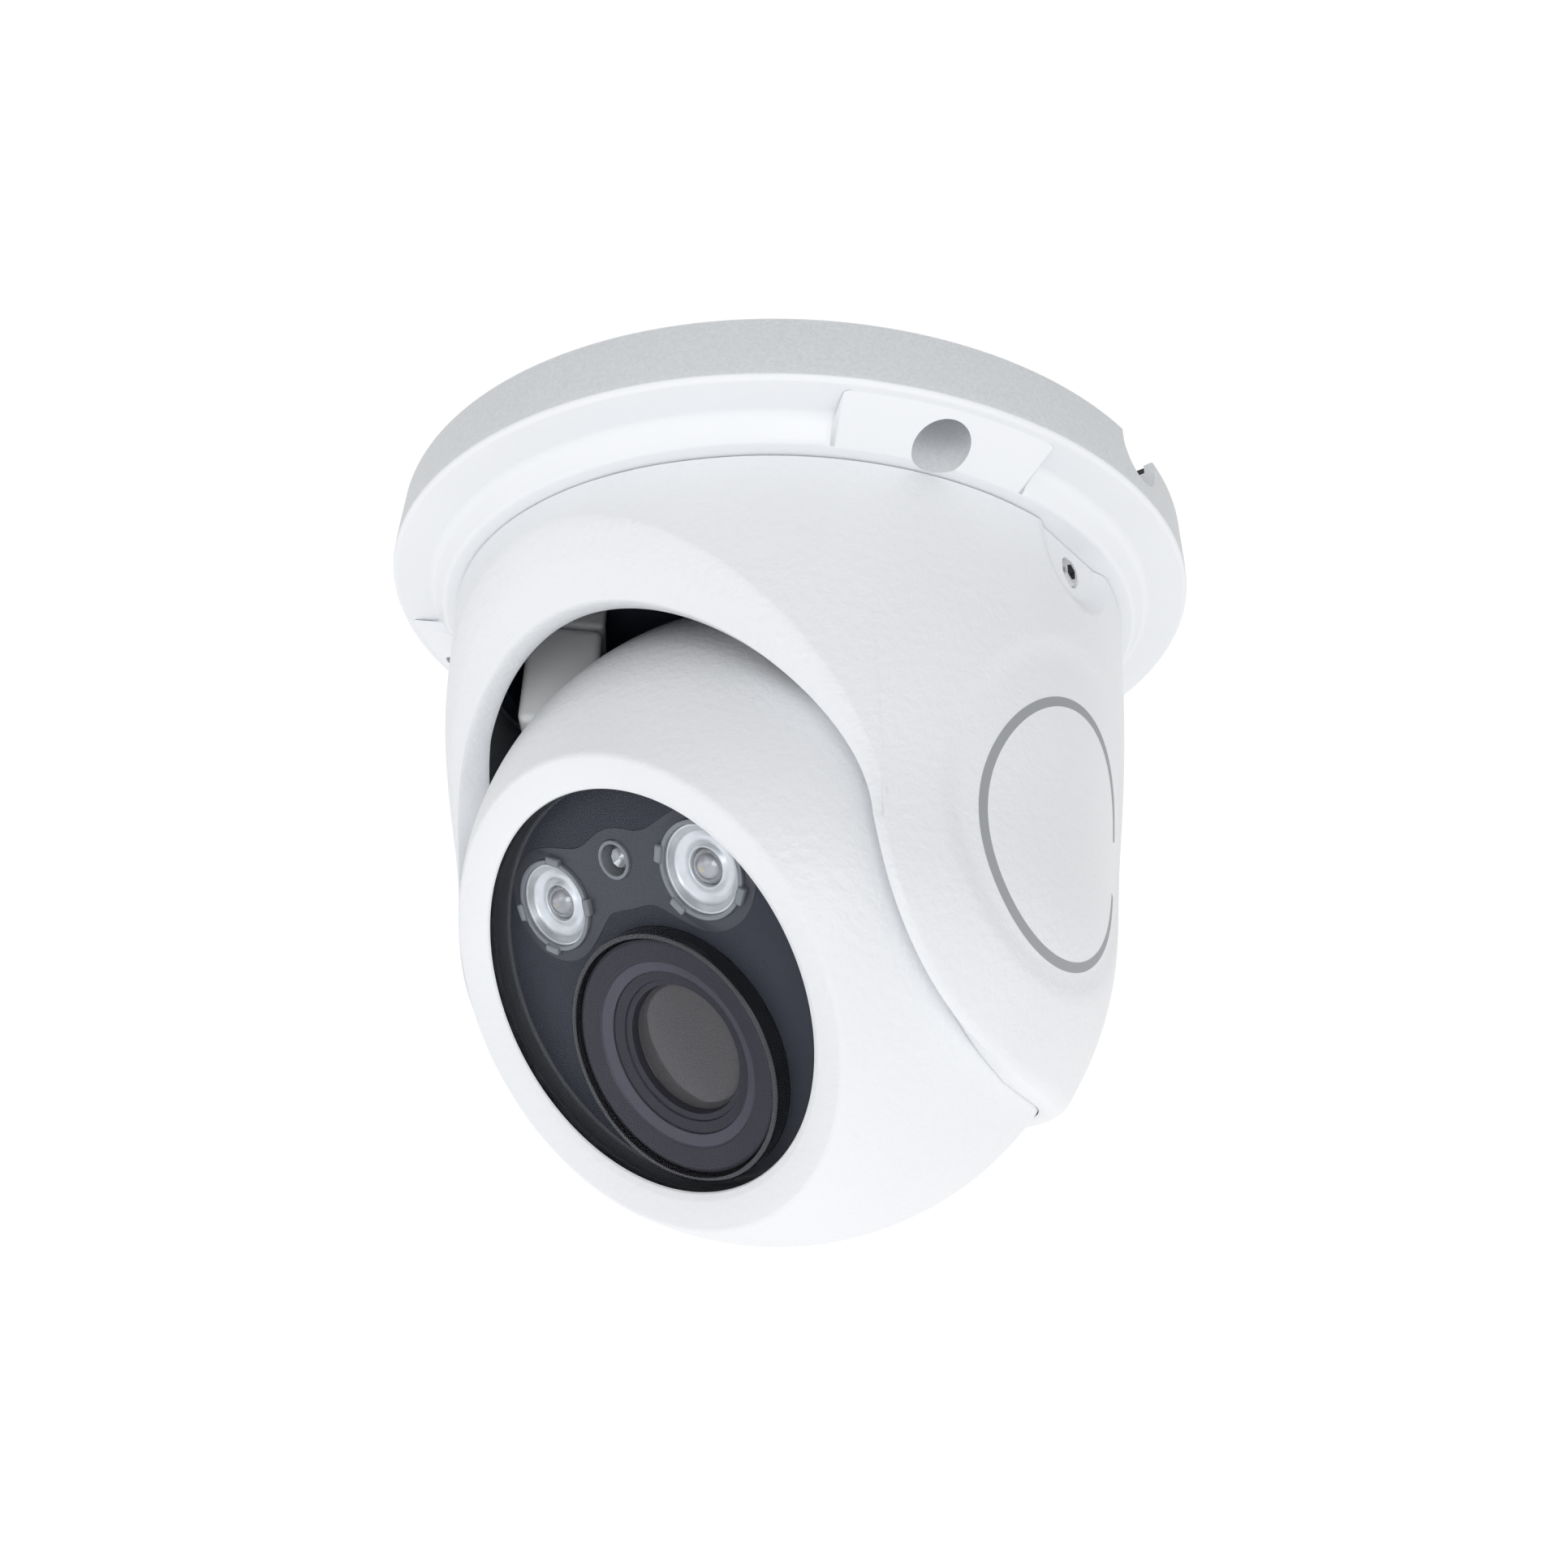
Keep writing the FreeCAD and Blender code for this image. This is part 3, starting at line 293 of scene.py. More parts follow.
def clear(name, tint, gloss_rough=0.0, body=0.0, body_colour=(0.8, 0.8, 0.8), ior=1.5):
    """A clear finish: it passes light straight through with a tint, reflects by angle, and has a share of
    haze."""
    material, tree, shader = make_material(name)
    output = tree.nodes["Material Output"]
    through = tree.nodes.new("ShaderNodeBsdfTransparent")
    haze = spread(tree, noise(tree, 0.08, 3.0), 0.97, 1.0)
    tree.links.new(tinted(tree, haze, [0.9 * c for c in tint], tint), through.inputs["Color"])
    gloss = tree.nodes.new("ShaderNodeBsdfGlossy")
    gloss.inputs["Roughness"].default_value = gloss_rough
    fresnel = tree.nodes.new("ShaderNodeFresnel")
    fresnel.inputs["IOR"].default_value = ior
    shader.inputs["Base Color"].default_value = (*body_colour, 1)
    shader.inputs["Roughness"].default_value = 0.25
    cloudy = tree.nodes.new("ShaderNodeMixShader")
    cloudy.inputs["Fac"].default_value = body
    tree.links.new(through.outputs["BSDF"], cloudy.inputs[1])
    tree.links.new(shader.outputs["BSDF"], cloudy.inputs[2])
    mixed = tree.nodes.new("ShaderNodeMixShader")
    tree.links.new(fresnel.outputs["Fac"], mixed.inputs["Fac"])
    tree.links.new(cloudy.outputs["Shader"], mixed.inputs[1])
    tree.links.new(gloss.outputs["BSDF"], mixed.inputs[2])
    tree.links.new(mixed.outputs["Shader"], output.inputs["Surface"])
    return material


WHITE = (0.785, 0.80, 0.825)
PAINT = finish("paint", WHITE, 0.36, grains=((0.9, 0.11), (2.4, 0.03)), vary=0.012)
PAINT_EVEN = finish("paint_even", WHITE, 0.34, grains=((1.3, 0.004),), vary=0.008)
GREY_PAINT = finish("grey_paint", (0.66, 0.68, 0.70), 0.5, vary=0.05, patch=2.2,
                    grains=((2.2, 0.05), (5, 0.02)))
# Painted shade: the shell's inside gets a darker grey that stands in for the shade inside it.
SHELL_INSIDE_SHADE = finish("shell_inside_painted_shade", (0.36, 0.39, 0.43), 0.6, vary=0.05, patch=1.5, grains=((2.0, 0.04),))
# Painted shade: all that faces into the base's cavity gets a near-black grey that stands in for the shade there.
CAVITY_SHADE = finish("cavity_painted_shade", (0.05, 0.06, 0.085), 0.6, vary=0.05, patch=1.5, grains=((2.0, 0.03),))
NYLON = finish("nylon", (0.90, 0.92, 0.92), 0.38, grains=((0.25, 0.006),))
STEEL = finish("steel", (0.55, 0.55, 0.56), 0.22, 1.0, grains=((4, 0.003),))
PANEL = finish("panel", (0.036, 0.039, 0.051), 0.55, vary=0.05, grains=((1.5, 0.001),),
               Specular_IOR_Level=0.25)
PANEL_EDGE = finish("panel_edge", (0.06, 0.062, 0.068), 0.45, grains=((2.2, 0.06),))
RECESS = finish("recess", (0.060, 0.062, 0.072), 0.4, vary=0.05, grains=((1.5, 0.001),),
                Specular_IOR_Level=0.4)
SILVER = finish("silver", (0.74, 0.75, 0.75), 0.3, 0.55, vary=0.08, patch=0.5, grains=((0.3, 0.02),))
CUP_GREY = finish("cup_grey", (0.44, 0.44, 0.44), 0.22, 0.5, vary=0.15, patch=0.5, grains=((0.4, 0.03),))
HOLDER = clear("holder", (0.80, 0.82, 0.84), 0.05, 0.45, (0.50, 0.52, 0.54))
CLEAR = clear("clear", (0.97, 0.98, 0.98), 0.02, 0.05)
GLASS = clear("glass", (0.97, 0.98, 1.0), 0.0, 0.0, ior=1.08)
EMITTER = finish("emitter", (0.50, 0.46, 0.34), 0.25, vary=0.2, patch=0.8)
GLOSS_BLACK = finish("gloss_black", (0.006, 0.006, 0.008), 0.08, Coat_Weight=0.5, grains=((0.12, 0.01),))
LENS_DARK = finish("lens_dark", (0.034, 0.032, 0.042), 0.45, grains=((3, 0.001),), Specular_IOR_Level=0.3)
LENS_LIGHT = finish("lens_light", (0.082, 0.078, 0.098), 0.42, grains=((3, 0.001),), Specular_IOR_Level=0.35)
COATED = finish("coated", (0.078, 0.073, 0.072), 0.05, vary=0.05, patch=0.05, Specular_IOR_Level=0.35)
RUBBER = finish("rubber", COLOURS["black_rubber"], 0.7, grains=((3, 0.02),))
INK = finish("ink", (0.32, 0.33, 0.35), 0.5, grains=((1.3, 0.01),))

SLOT_FINISH = {
    "white_paint": PAINT, "black_rubber": RUBBER, "white_nylon": NYLON, "steel": STEEL,
    "clear_window": GLASS, "dark_panel": PANEL, "clear_plastic": CLEAR, "emitter": EMITTER,
    "gloss_black": GLOSS_BLACK,
}
for slot_name, colour in COLOURS.items():
    if slot_name in SLOT_FINISH:
        continue
    metal = 1.0 if slot_name in ("lever_metal", "spacer_brass", "aluminium") else 0.0
    SLOT_FINISH[slot_name] = finish(slot_name, colour, 0.35, metal, grains=((3, 0.004),))
for node_name, node in frame["nodes"].items():
    node.data.materials.clear()
    node.data.materials.append(SLOT_FINISH[SLOTS[node_name]])


# ---------------------------------------------------------------- mounting base
RING_Z = -11.7
FLANGE_Z = -8.8
PAD_ANGLES = (-30, 90, 210)   # of the three screw pads, from +X
POST_ANGLES = (-133, -47, 90)  # of the three posts, from +X
PAD_HALF = 13.5  # degrees
MOUNT_SCREW_R, RECESS_R = 54, 3.5
PAD_SCREW_R, BORE_R = 34.6, 1.25


def base_outline(under):
    """The base's closed outline with a given run of points along its underside."""
    above = [(11, FLANGE_Z, 0.3), (11, -5.8), (55.4, -5.8), (55.4, 0, 0.3), (59.7, 0, 0.3), (BASE_R, -7.0),
             (BASE_R, -7.3), (BASE_R, FLANGE_Z, 0.9)]
    inside = [(46.4, RING_Z), (46.4, -14.2), (45.4, -14.8), (45.4, -15.6), (46.4, -16.2), (46.4, -16.9),
              (45.1, -16.9), (45.1, -18.3), (46.4, -18.3), (46.4, -18.9, 0.2), (43.6, -18.9, 0.3),
              (43.6, FLANGE_Z, 1.0)]
    return np.array([tuple(point) for point in rounded(above + under + inside, 8)])


def base_mesh():
    """The cast base: a lathe whose underside slopes out from the raised ring over three pads."""
    plain = base_outline([(54.1, FLANGE_Z, 1.6), (52.4, RING_Z, 0.9)])
    padded = base_outline([(58.6, FLANGE_Z - 0.05, 0.8), (51.9, RING_Z, 0.8)])
    edges = [angle + side * PAD_HALF for angle in PAD_ANGLES for side in (-1, 1)]
    half = np.interp(plain[:, 0], (51, 59), (PAD_HALF + 1.9, PAD_HALF - 3.2))[:, None]
    turn = set(np.arange(-180, 180, 1.25).tolist())
    # finer steps near the ends of each pad
    for edge in edges:
        turn |= set(np.round((np.linspace(edge - 4, edge + 4, 65) + 180) % 360 - 180, 4).tolist())
    turn = np.array(sorted(turn))
    gap = np.min([np.abs((turn - angle + 180) % 360 - 180) for angle in PAD_ANGLES], 0)[None, :]
    blend = np.clip((half - gap) / 0.9 + 0.5, 0, 1)
    blend = (blend * blend * (3 - 2 * blend))[:, :, None]
    outline = plain[:, None, :] * (1 - blend) + padded[:, None, :] * blend
    angle = np.radians(turn)
    points = np.stack([outline[..., 0] * np.cos(angle), outline[..., 0] * np.sin(angle), outline[..., 1]], -1)
    return grid(points)


def mounting_base():
    """The base with its screw bosses, posts, screw holes, a groove on the ceiling side and a cable notch."""
    body = base_mesh()
    boss = lathe(rounded([(0, FLANGE_Z + 0.1), (6.4, FLANGE_Z + 0.1), (6.4, 0, 0.3), (0, 0)]), 64)
    at_screw = Matrix.Translation((MOUNT_SCREW_R, 0, 0))
    boss = cut(moved(boss, at_screw),
               lathe([(59, -20), (70, -20), (70, 5), (59, 5)], 96))
    post = block((28.2, -6.5, -13), (40.1, 6.5, -7), 0.7, 4)
    recess = lathe(rounded([(0, -20), (RECESS_R, -20), (RECESS_R, -3.2, 0.3), (2.5, -3.2, 0.2), (2.3, 5),
                            (0, 5)]), 96)
    recess = moved(recess, at_screw)
    bore = moved(lathe([(0, -20), (BORE_R, -20), (BORE_R, 5), (0, 5)], 32),
                 Matrix.Translation((PAD_SCREW_R, 0, 0)))
    for angle in PAD_ANGLES:
        body = fused(body, spun(boss, angle))
    for angle in POST_ANGLES:
        body = fused(body, spun(post, angle))
    for angle in PAD_ANGLES:
        body = cut(body, spun(recess, angle))
    for angle in POST_ANGLES:
        body = cut(body, spun(bore, angle))
    groove = lathe([(56.6, -1.2), (58.4, -1.2), (58.4, 5), (56.6, 5)], 192)
    notch = moved(lathe(rounded([(0, -20), (4.5, -20), (4.5, 20), (0, 20)]), 64),
                  Matrix.Translation((62, 0, -1.5)) @ Matrix.Rotation(math.radians(90), 4, "Y"))
    upper = block((50, -4.5, -1.5), (70, 4.5, 20))
    notch = fused(cut(notch, block((30, -10, -20), (50, 10, 20))), upper)
    return cut(body, groove, notch)


def base_grey_and_shade(centre, normal):
    """1 for the coarse grey coat of the side wall, the recesses, the posts and the ceiling side, and 2 for the
    painted shade, a near-black colour that stands in for the shade on all that faces into the cavity."""
    radius = math.hypot(centre.x, centre.y)
    for angle in PAD_ANGLES:
        turn = math.radians(angle)
        away = math.hypot(centre.x - MOUNT_SCREW_R * math.cos(turn),
                          centre.y - MOUNT_SCREW_R * math.sin(turn))
        if away < RECESS_R + 0.2 and (abs(normal.z) < 0.3 or centre.z > -4):
            return 1
    if radius > BASE_R - 0.25 and centre.z > -8.2:
        return 1
    if centre.z > -7 and radius < 56:
        return 1
    if 26 < radius < 42 and centre.z < FLANGE_Z - 0.1:
        return 1
    if radius < 46 or (radius < 51 and centre.z > RING_Z + 0.1):
        return 2
    return 0


piece("base_casting", mounting_base(), (PAINT_EVEN, GREY_PAINT, CAVITY_SHADE), "base",
      ("mounting_base",), second=base_grey_and_shade)


def friction_pads():
    """Nylon blocks under the posts, hollowed to the ball."""
    pad = block((28.55, -6.05, -28.95), (39.45, 6.05, -13.2), 1.2, 5)
    sphere = moved(lathe(arc(0, 0, BALL_R + 0.05, -90, 90, 97), 192), Matrix.Translation(BALL_CENTRE))
    bore = moved(lathe([(0, -40), (BORE_R, -40), (BORE_R, 0), (0, 0)], 32),
                 Matrix.Translation((PAD_SCREW_R, 0, 0)))
    pad = cut(pad, bore)
    return joined(*[cut(spun(pad, angle), sphere) for angle in POST_ANGLES])


piece("nylon_pads", friction_pads(), (NYLON,), "base", ("friction_pads",), sharp=50)


# ---------------------------------------------------------------- outer shell
SHELL_TOP = -11.8
RIM_Z = -81.0
WALL_R, WALL_TAPER, WALL_BULGE = 50.4, 0.0691, 2.532
CONE_R, CONE_TAPER, CONE_TOP_Z, CONE_FOOT_Z = 47.9, 0.0906, -48, -56.5
OUTER_SPHERE_R, INNER_SPHERE_R = 47.2, 44.9
SEAT_R, SEAT_TOP_Z, SEAT_FOOT_Z = 46.55, -19.4, -20.6
TOP_EDGE = 0.3
DISH_Z, DISH_R, DISH_DEPTH, DISH_RAMP = -48.5, 22.4, 0.5, 3.2
ARCH_Z = -55.0
ARCHES = ((38, 30.4), (38.3, 34.6), (39, 39.6))  # half width and height of edge, low and high crease
ARCH_FOOT_Z = -78.2
BEVEL_LEAST, BEVEL_EXTRA = 0.35, 4.85
BEVEL_SHARE = 0.42  # of the bevel's depth, reached at the low crease
POCKET_X, OUTSIDE_X = 48.9, 56
LOCK_SCREW_Z = -15.2


def raw_radius(z):
    """The turned outside: a barrelled wall, a short cone and a sphere about the ball's centre."""
    depth = SHELL_TOP - z
    share = depth / (SHELL_TOP - CONE_TOP_Z)
    wall = WALL_R - WALL_TAPER * depth + WALL_BULGE * share * (1 - share)
    cone = CONE_R - CONE_TAPER * (CONE_TOP_Z - z)
    sphere = np.sqrt(np.maximum(OUTER_SPHERE_R ** 2 - (z - BALL_Z) ** 2, 0))
    return np.where(z > CONE_TOP_Z, wall, np.where(z > CONE_FOOT_Z, cone, sphere))


def outer_radius(z):
    """The same outside with its corners averaged away, over up to 3 mm each way."""
    z = np.asarray(z, float)
    steps = np.linspace(-3, 3, 13)
    reach = np.clip(np.minimum(SHELL_TOP - z, z - RIM_Z) / 3, 0, 1)
    return np.mean([raw_radius(z + step * reach) for step in steps], 0)


def inner_radius(z):
    """The bore: a seat for the collar, a wall that narrows downwards, then a sphere round the ball."""
    z = np.asarray(z, float)
    wall = np.interp(z, (BALL_Z, SEAT_FOOT_Z, SEAT_TOP_Z), (INNER_SPHERE_R, 45.8, SEAT_R))
    sphere = np.sqrt(np.maximum(INNER_SPHERE_R ** 2 - (z - BALL_Z) ** 2, 0))
    return np.where(z > BALL_Z, wall, sphere)


def dish_depth(side, z):
    """How far the cheek's shallow dish lowers the wall, at a distance along the wall and a height."""
    ramp = np.clip((DISH_R - np.hypot(side, z - DISH_Z)) / DISH_RAMP, 0, 1)
    return DISH_DEPTH * ramp * ramp * (3 - 2 * ramp)


def turn_of(x, z):
    """The angle from the front, in degrees, of a point of the outer wall at a distance to the side."""
    return np.degrees(np.arcsin(np.clip(x / outer_radius(z), -1, 1)))


def edge_curves():
    """The opening's edge and the two crease lines of its bevel, as (angle from the front, height),
    and the bevel's depth at the edge, from the front round to the back."""
    way = np.radians(np.linspace(0, 90, 96))
    curves = []
    for half, height in ARCHES:
        z = ARCH_Z + height * np.cos(way)
        curves.append(np.stack([turn_of(half * np.sin(way), z), z], -1))
    z_side = np.linspace(ARCH_Z, ARCH_FOOT_Z, 60)[1:]
    side = np.stack([turn_of(ARCHES[0][0] + 2 * (ARCH_Z - z_side) / 26, z_side), z_side], -1)
    ear = np.array([side[-1], (85, -79.3), (91, -80.1), (98, -80.7), (107, RIM_Z), (125, RIM_Z),
                    (180, RIM_Z)])
    length = np.concatenate([[0], np.cumsum(np.hypot(np.diff(ear[:, 0]) * 0.8, np.diff(ear[:, 1])))])
    ear_way = np.linspace(0, length[-1], 70)
    ear = np.stack([np.interp(ear_way, length, ear[:, 0]), np.interp(ear_way, length, ear[:, 1])], -1)[1:]
    tail = np.concatenate([side, ear])
    for _ in range(12):
        whole = np.concatenate([curves[0][-1:], tail])
        tail[:-1] = 0.5 * whole[1:-1] + 0.25 * (whole[:-2] + whole[2:])
    whole = np.concatenate([curves[0][-1:], tail])
    radius = outer_radius(whole[:, 1])
    across = np.stack([np.gradient(whole[:, 0]) * np.radians(1) * radius, np.gradient(whole[:, 1])], -1)
    across /= np.linalg.norm(across, axis=1)[:, None]
    outward = np.stack([-across[:, 1], across[:, 0]], -1)[1:]
    fade = np.linspace(0, 1, len(tail))[:, None]
    for number, (near, far) in ((1, (0.3, 0.4)), (2, (1.0, 1.0))):
        width = near + (far - near) * np.minimum(fade * 4, 1)
        shift = outward * width
        shift[:, 0] /= np.radians(1) * radius[1:]
        curves[number] = np.concatenate([curves[number], tail + shift])
    curves[0] = np.concatenate([curves[0], tail])
    depth = np.concatenate([BEVEL_LEAST + BEVEL_EXTRA * np.cos(way) ** 1.6, np.full(len(tail), BEVEL_LEAST)])
    return curves, depth


def outside_rows(top_turn, edge, low_crease, high_crease, depth):
    """Rows of (turn, height, radius) from the top down the wall and the bevel to the opening's edge."""
    count = len(top_turn)
    top = np.stack([top_turn, np.full(count, SHELL_TOP)], -1)
    spans = []
    for v in np.concatenate([np.linspace(0, 0.2, 14)[:-1], np.linspace(0.2, 1, 60)]):
        spans.append((top * (1 - v) + high_crease * v, 0))
    for v in np.linspace(0, 1, 9)[1:]:
        spans.append((high_crease * (1 - v) + low_crease * v, BEVEL_SHARE * depth * v ** 1.25))
    for v in np.linspace(0, 1, 9)[1:]:
        share = BEVEL_SHARE + (1 - BEVEL_SHARE) * (v + 0.12 * v * (v - 1))
        spans.append((low_crease * (1 - v) + edge * v, depth * share))
    rows = [(way[:, 0], way[:, 1], outer_radius(way[:, 1]) - drop) for way, drop in spans]
    # a soft corner at the top rim
    z = np.full(count, SHELL_TOP - TOP_EDGE)
    rows[0] = (top_turn, z, outer_radius(z))
    return rows


def lip_rows(edge, edge_r):
    """Rows across the wall's thickness, from the opening's edge over a rounded lip to the inside."""
    turn, edge_z = edge.T
    inside_z = edge_z + np.interp(turn, (0, 60, 90), (0.25, 0.1, 0))
    wall_r = np.minimum(inner_radius(inside_z), edge_r - 0.8)
    ball_r = np.sqrt(np.maximum(BALL_R ** 2 - (inside_z - BALL_CENTRE.z) ** 2, 0))
    lip = np.interp(turn, (60, 80), (2.4, 0.4))
    clearance = np.interp(turn, (60, 80), (0.6, 0.15))
    wall_r = np.minimum(wall_r, np.maximum(wall_r - lip, ball_r + clearance))
    straight = np.degrees(np.arcsin(np.clip(np.sin(np.radians(turn)) * edge_r / wall_r, -1, 1)))
    offset = np.minimum(straight - turn, 4.2) * np.clip((90 - turn) / 32, 0, 1) ** 0.7
    lean = np.clip((turn - 30) / 30, 0, 1) * np.clip((100 - turn) / 20, 0, 1)
    rows = []
    for v in (0.06, 0.18, 0.35, 0.65, 0.82, 0.94, 1.0):
        bulge = 0.35 * math.sin(math.pi * v) ** 0.6
        rows.append((turn + offset * v - lean * bulge * 0.6,
                     edge_z * (1 - v) + inside_z * v - bulge * (1 - lean),
                     edge_r * (1 - v) + wall_r * v))
    return rows


def bore_rows(top_turn, lip_row):
    """Rows up the bore, from the lip's last row to the collar's seat and the top."""
    lip_turn, lip_z, lip_r = lip_row
    rows = []
    for v in np.linspace(0, 1, 26)[1:] ** 1.6:
        z = lip_z * (1 - v) + SEAT_FOOT_Z * v
        radius = inner_radius(z) - (inner_radius(lip_z) - lip_r) * (1 - v) * np.exp((lip_z - z) / 1.6)
        rows.append((lip_turn * (1 - v) + top_turn * v, z, radius))
    for z, radius in ((SEAT_TOP_Z, SEAT_R), (SHELL_TOP - TOP_EDGE, SEAT_R), (SHELL_TOP, SEAT_R + TOP_EDGE),
                      (SHELL_TOP, WALL_R - TOP_EDGE)):
        rows.append((top_turn, np.full(len(top_turn), z), np.full(len(top_turn), radius)))
    return rows


def shell_mesh():
    """The shell's right half, row by row from the top down the outside and up the bore, and its mirror."""
    (edge, low_crease, high_crease), depth = edge_curves()
    count = len(edge)
    top_turn = np.interp(np.arange(count), (0, 95, 154, count - 1), (0, 50, 80, 180))
    outside = outside_rows(top_turn, edge, low_crease, high_crease, depth)
    lip = lip_rows(edge, outside[-1][2])
    turn, z, radius = (np.array(part) for part in zip(*outside, *lip, *bore_rows(top_turn, lip[-1])))
    angle = np.radians(turn)
    dished = slice(0, len(outside))
    radius[dished] -= dish_depth(radius[dished] * np.cos(angle[dished]), z[dished])
    right = np.stack([radius * np.sin(angle), -radius * np.cos(angle), z], -1)
    left = right[:, 1:-1][:, ::-1] * np.array([-1, 1, 1])
    return grid(np.concatenate([right, left], 1))


def pocket_tool():
    """The cutter of a set-screw pocket: flat inside, with a sloping mouth that follows the wall."""
    rho = [0, 4, 6.2, 6.7]
    depth = [1, 1, 1, 1]
    for step in np.linspace(0.05, 1, 10):
        rho.append(6.8 + 2.6 * step)
        depth.append(1 - 0.8 * step - 0.2 * step * step * (3 - 2 * step))
    phi = np.linspace(0, 2 * math.pi, 128, endpoint=False)
    rings = []
    for r, d in zip(rho, depth):
        y = r * np.cos(phi)
        z = SHELL_TOP + r * np.sin(phi)
        wall = np.sqrt(outer_radius(np.minimum(z, SHELL_TOP)) ** 2 - y ** 2)
        x = wall * (1 - d) + POCKET_X * d
        rings.append(np.stack([x, y, z], -1))
    last = rings[-1]
    out = last.copy()
    out[:, 0] = OUTSIDE_X
    out[:, 1] = last[:, 1] * 1.05
    out[:, 2] = SHELL_TOP + (last[:, 2] - SHELL_TOP) * 1.05
    centre = np.zeros_like(last)
    centre[:, 0] = OUTSIDE_X
    centre[:, 2] = SHELL_TOP
    return grid(np.array(rings + [out, centre]), ring_rows=False)


def outer_shell():
    """The shell with a set-screw pocket, its screw hole and a bushing bore on each side."""
    body = shell_mesh()
    pocket = pocket_tool()
    sideways = Matrix.Rotation(math.radians(90), 4, "Y")
    hole = moved(lathe(rounded([(0, -6), (2.0, -6), (2.0, -0.25), (2.3, 0.05), (2.3, 3), (0, 3)]), 48),
                 Matrix.Translation((POCKET_X, 0, LOCK_SCREW_Z)) @ sideways)
    bore = moved(lathe([(0, 42), (3.42, 42), (3.42, 45.93), (0, 45.93)], 64),
                 Matrix.Translation(BALL_CENTRE) @ sideways)
    for turn in (0, 180):
        body = cut(body, spun(pocket, turn), spun(hole, turn), spun(bore, turn))
    return body


OPENING = edge_curves()[0][0]
LIP_WIDTH = 3.0


def shell_shaded_inside(centre, normal):
    """Whether a face gets the painted shade of the shell's inside, a darker grey that stands in for the shade
    there and stops short of the opening's edge.
    """
    radius = math.hypot(centre.x, centre.y)
    if normal.x * centre.x + normal.y * centre.y > 0 or radius > float(inner_radius(centre.z)) + 0.3:
        return False
    turn = math.degrees(math.atan2(abs(centre.x), -centre.y))
    away = np.hypot((OPENING[:, 0] - turn) * math.radians(radius), OPENING[:, 1] - centre.z)
    return float(away.min()) > LIP_WIDTH


piece("shell_casting", outer_shell(), (PAINT, SHELL_INSIDE_SHADE), "shell", ("outer_shell",),
      second=shell_shaded_inside)


def set_screws():
    """Steel set screws with a hexagon socket."""
    screw = lathe(rounded([(0, 46.6), (1.6, 46.6), (1.95, 46.95), (1.95, 48.7), (1.6, 49.0), (0, 49.0)]), 48)
    socket = lathe([(0, 47.4), (1.15, 47.6), (1.15, 60), (0, 60)], 6)
    screw = cut(screw, socket)
    screw = moved(screw, Matrix.Translation((0, 0, LOCK_SCREW_Z)) @ Matrix.Rotation(math.radians(90), 4, "Y"))
    return joined(screw, spun(screw, 180))


piece("lock_screws", set_screws(), (STEEL,), "shell", ("set_screws",))


def printed_ring():
    """The printed ring on the right cheek, open towards the back at mid-height."""
    centre_z = -51.0
    rows = []
    gap = math.radians(13)
    phi = np.linspace(gap, 2 * math.pi - gap, 121)
    for rho, lift in ((15.4, 0.0), (15.4, 0.04), (15.8, 0.04), (16.2, 0.04), (16.6, 0.04), (16.6, 0.0)):
        y = rho * np.cos(phi)
        z = centre_z + rho * np.sin(phi)
        radius = outer_radius(z) - dish_depth(y, z)
        x = np.sqrt(radius ** 2 - y ** 2) + lift - 0.015
        rows.append(np.stack([x, y, z], -1))
    mesh = grid(np.array(rows), ring_columns=False)
    work = bmesh.new()
    work.from_mesh(mesh)
    bmesh.ops.holes_fill(work, edges=[e for e in work.edges if e.is_boundary])
    work.to_mesh(mesh)
    work.free()
    return mesh


piece("cheek_mark", printed_ring(), (INK,), "shell", sharp=60)


# ---------------------------------------------------------------- ball and gimbal
FACE_Z = 32.0
SHOULDER = 1.2
HOLLOW_R = 41.8
BAND_R, BAND_HALF = 40.4, 3.6  # the groove that the gimbal's band runs in
JOINT_R, JOINT_HALF = 35, 6.6  # the inner flange where the two halves meet
BALL_SCREW_ANGLES = (90, 210, 330)


def angle_at(height, radius):
    """The angle in degrees at which a circle about the middle reaches a height."""
    return math.degrees(math.asin(height / radius))


def front_outline():
    """The front half's closed outline: the ball, the bezel, the window's seat, the hollow and the flange."""
    centre_z = FACE_Z - SHOULDER
    centre_r = math.sqrt((BALL_R - SHOULDER) ** 2 - centre_z ** 2)
    corner = math.degrees(math.atan2(centre_z, centre_r))
    points = arc(0, 0, BALL_R, angle_at(BAND_HALF, BALL_R) + 0.25, corner, 72)
    points += arc(centre_r, centre_z, SHOULDER, corner, 90, 10)[1:]
    points += rounded([(centre_r, FACE_Z), (27.2, 31.2, 0.5), (26.4, 30.8, 0.25), (26.3, 30.5)], 4)[1:]
    points += [(28.1, 30.5), (28.1, 27.6), (32, 27.6)]
    points += arc(0, 0, HOLLOW_R, angle_at(27.0, HOLLOW_R), angle_at(JOINT_HALF, HOLLOW_R), 24)
    points += [(JOINT_R, JOINT_HALF), (JOINT_R, 0), (BAND_R, 0), (BAND_R, BAND_HALF),
               (BALL_R - 0.5, BAND_HALF)]
    return points


def rear_outline():
    """The rear half's closed outline, with the cable hole at its end."""
    points = [(BAND_R, -BAND_HALF), (BAND_R, 0), (JOINT_R, 0), (JOINT_R, -JOINT_HALF)]
    points += arc(0, 0, HOLLOW_R, -angle_at(JOINT_HALF, HOLLOW_R), -83.2, 48)
    points += rounded([(5, -41.5), (5, -44.2, 0.3), (5.4, -44.17)])
    points += arc(0, 0, BALL_R, -83.0, -angle_at(BAND_HALF, BALL_R) - 0.25, 96)
    points += [(BALL_R - 0.5, -BAND_HALF)]
    return points


